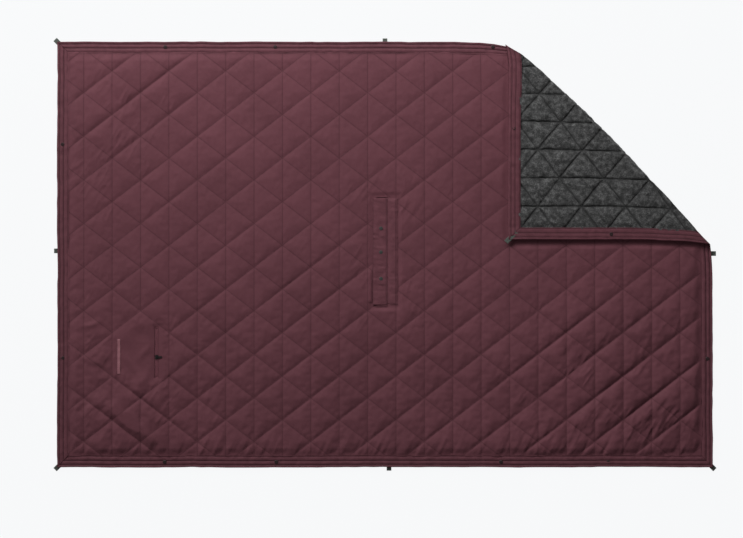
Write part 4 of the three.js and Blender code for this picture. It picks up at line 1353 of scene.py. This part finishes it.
# the bend at the fold
BAND_ALONG = BAND * math.sqrt(2)
FOLD_LENGTH = 2 * FOLD_HALF
FLEECE_END = FOLD_LENGTH - BAND_ALONG
for node, q0, q1, finish, slot, groove in (
    ("fold_roll_binding_top", 0.0, BAND_ALONG, border_finish, "border_binding", False),
    ("fold_roll_fleece", BAND_ALONG, FLEECE_END, fleece_finish, "fleece", True),
    ("fold_roll_binding_right", FLEECE_END, FOLD_LENGTH, border_finish, "border_binding", False),
):
    roll = make_roll(node + "_bend", q0, q1, [finish, face_finish if groove else finish], groove)
    keep(roll, None, slot, node)

make_snaps(dark_snap_finish)
make_loops(webbing_finish)
make_neck(flap_finish, facing_finish, border_finish)
make_neck_snaps(grey_snap_finish)
make_pocket(face_height, zip_tape_finish, plain_finish, label_finish)

# the teeth and stops take the coil plastic, which is lightened as painted light
for names, finish in (
    (("zip_teeth_left", "zip_teeth_right", "zip_stop_top", "zip_stop_bottom"), coil_finish),
    (("zip_slider", "zip_pull"), zip_metal_finish),
):
    for name in names:
        frame["nodes"][name].data.materials.clear()
        frame["nodes"][name].data.materials.append(finish)

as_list(ADD_ONS["blanket"])
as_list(ADD_ONS["corner"])


# ---- floor, light and camera ----

def add_light(name, place, target, size, power, colour=(1, 1, 1)):
    light = bpy.data.lights.new(name, "AREA")
    light.shape = "RECTANGLE"
    light.size, light.size_y = size
    light.energy = power
    light.color = colour
    obj = bpy.data.objects.new(name, light)
    bpy.context.collection.objects.link(obj)
    obj.location = place
    aim = Vector(target) - Vector(place)
    obj.rotation_euler = aim.to_track_quat("-Z", "Y").to_euler()


FLOOR_HALF = 6.0
FLOOR_Z = -0.0003
SUN_STRENGTH = 1.19
WORLD_STRENGTH = 0.14
floor_corners = [(x * FLOOR_HALF, y * FLOOR_HALF, FLOOR_Z) for x, y in ((-1, -1), (1, -1), (1, 1), (-1, 1))]
floor = new_object("studio_floor", floor_corners, [np.array([[0, 1, 2, 3]])], materials=[floor_finish()])

add_light("top_strip", (-0.45, 2.0, 1.3), (-0.25, 0.3, 0), (2.6, 0.8), 40)

sun = bpy.data.lights.new("side_light", "SUN")
sun.energy = SUN_STRENGTH
sun.angle = math.radians(22)
side_light = bpy.data.objects.new("side_light", sun)
bpy.context.collection.objects.link(side_light)
side_light.location = (-2.4, 1.9, 1.8)
side_light.rotation_euler = (-side_light.location).to_track_quat("-Z", "Y").to_euler()

world = bpy.data.worlds.new("studio")
bpy.context.scene.world = world
world.use_nodes = True
world.node_tree.nodes["Background"].inputs["Color"].default_value = (1, 1, 1, 1)
world.node_tree.nodes["Background"].inputs["Strength"].default_value = WORLD_STRENGTH

CAMERA_HEIGHT = 5.01
MM_A_PIXEL = 2.982
IMAGE_WIDTH = 743
SENSOR = 36.0
camera_data = bpy.data.cameras.new("camera")
camera_data.sensor_width = SENSOR
camera_data.lens = SENSOR * (CAMERA_HEIGHT - 0.01) / (IMAGE_WIDTH * MM_A_PIXEL / 1000)
camera = bpy.data.objects.new("camera", camera_data)
bpy.context.collection.objects.link(camera)
camera.location = (-0.0403, -0.0432, CAMERA_HEIGHT)
bpy.context.scene.camera = camera
bpy.context.scene.view_settings.view_transform = "Standard"
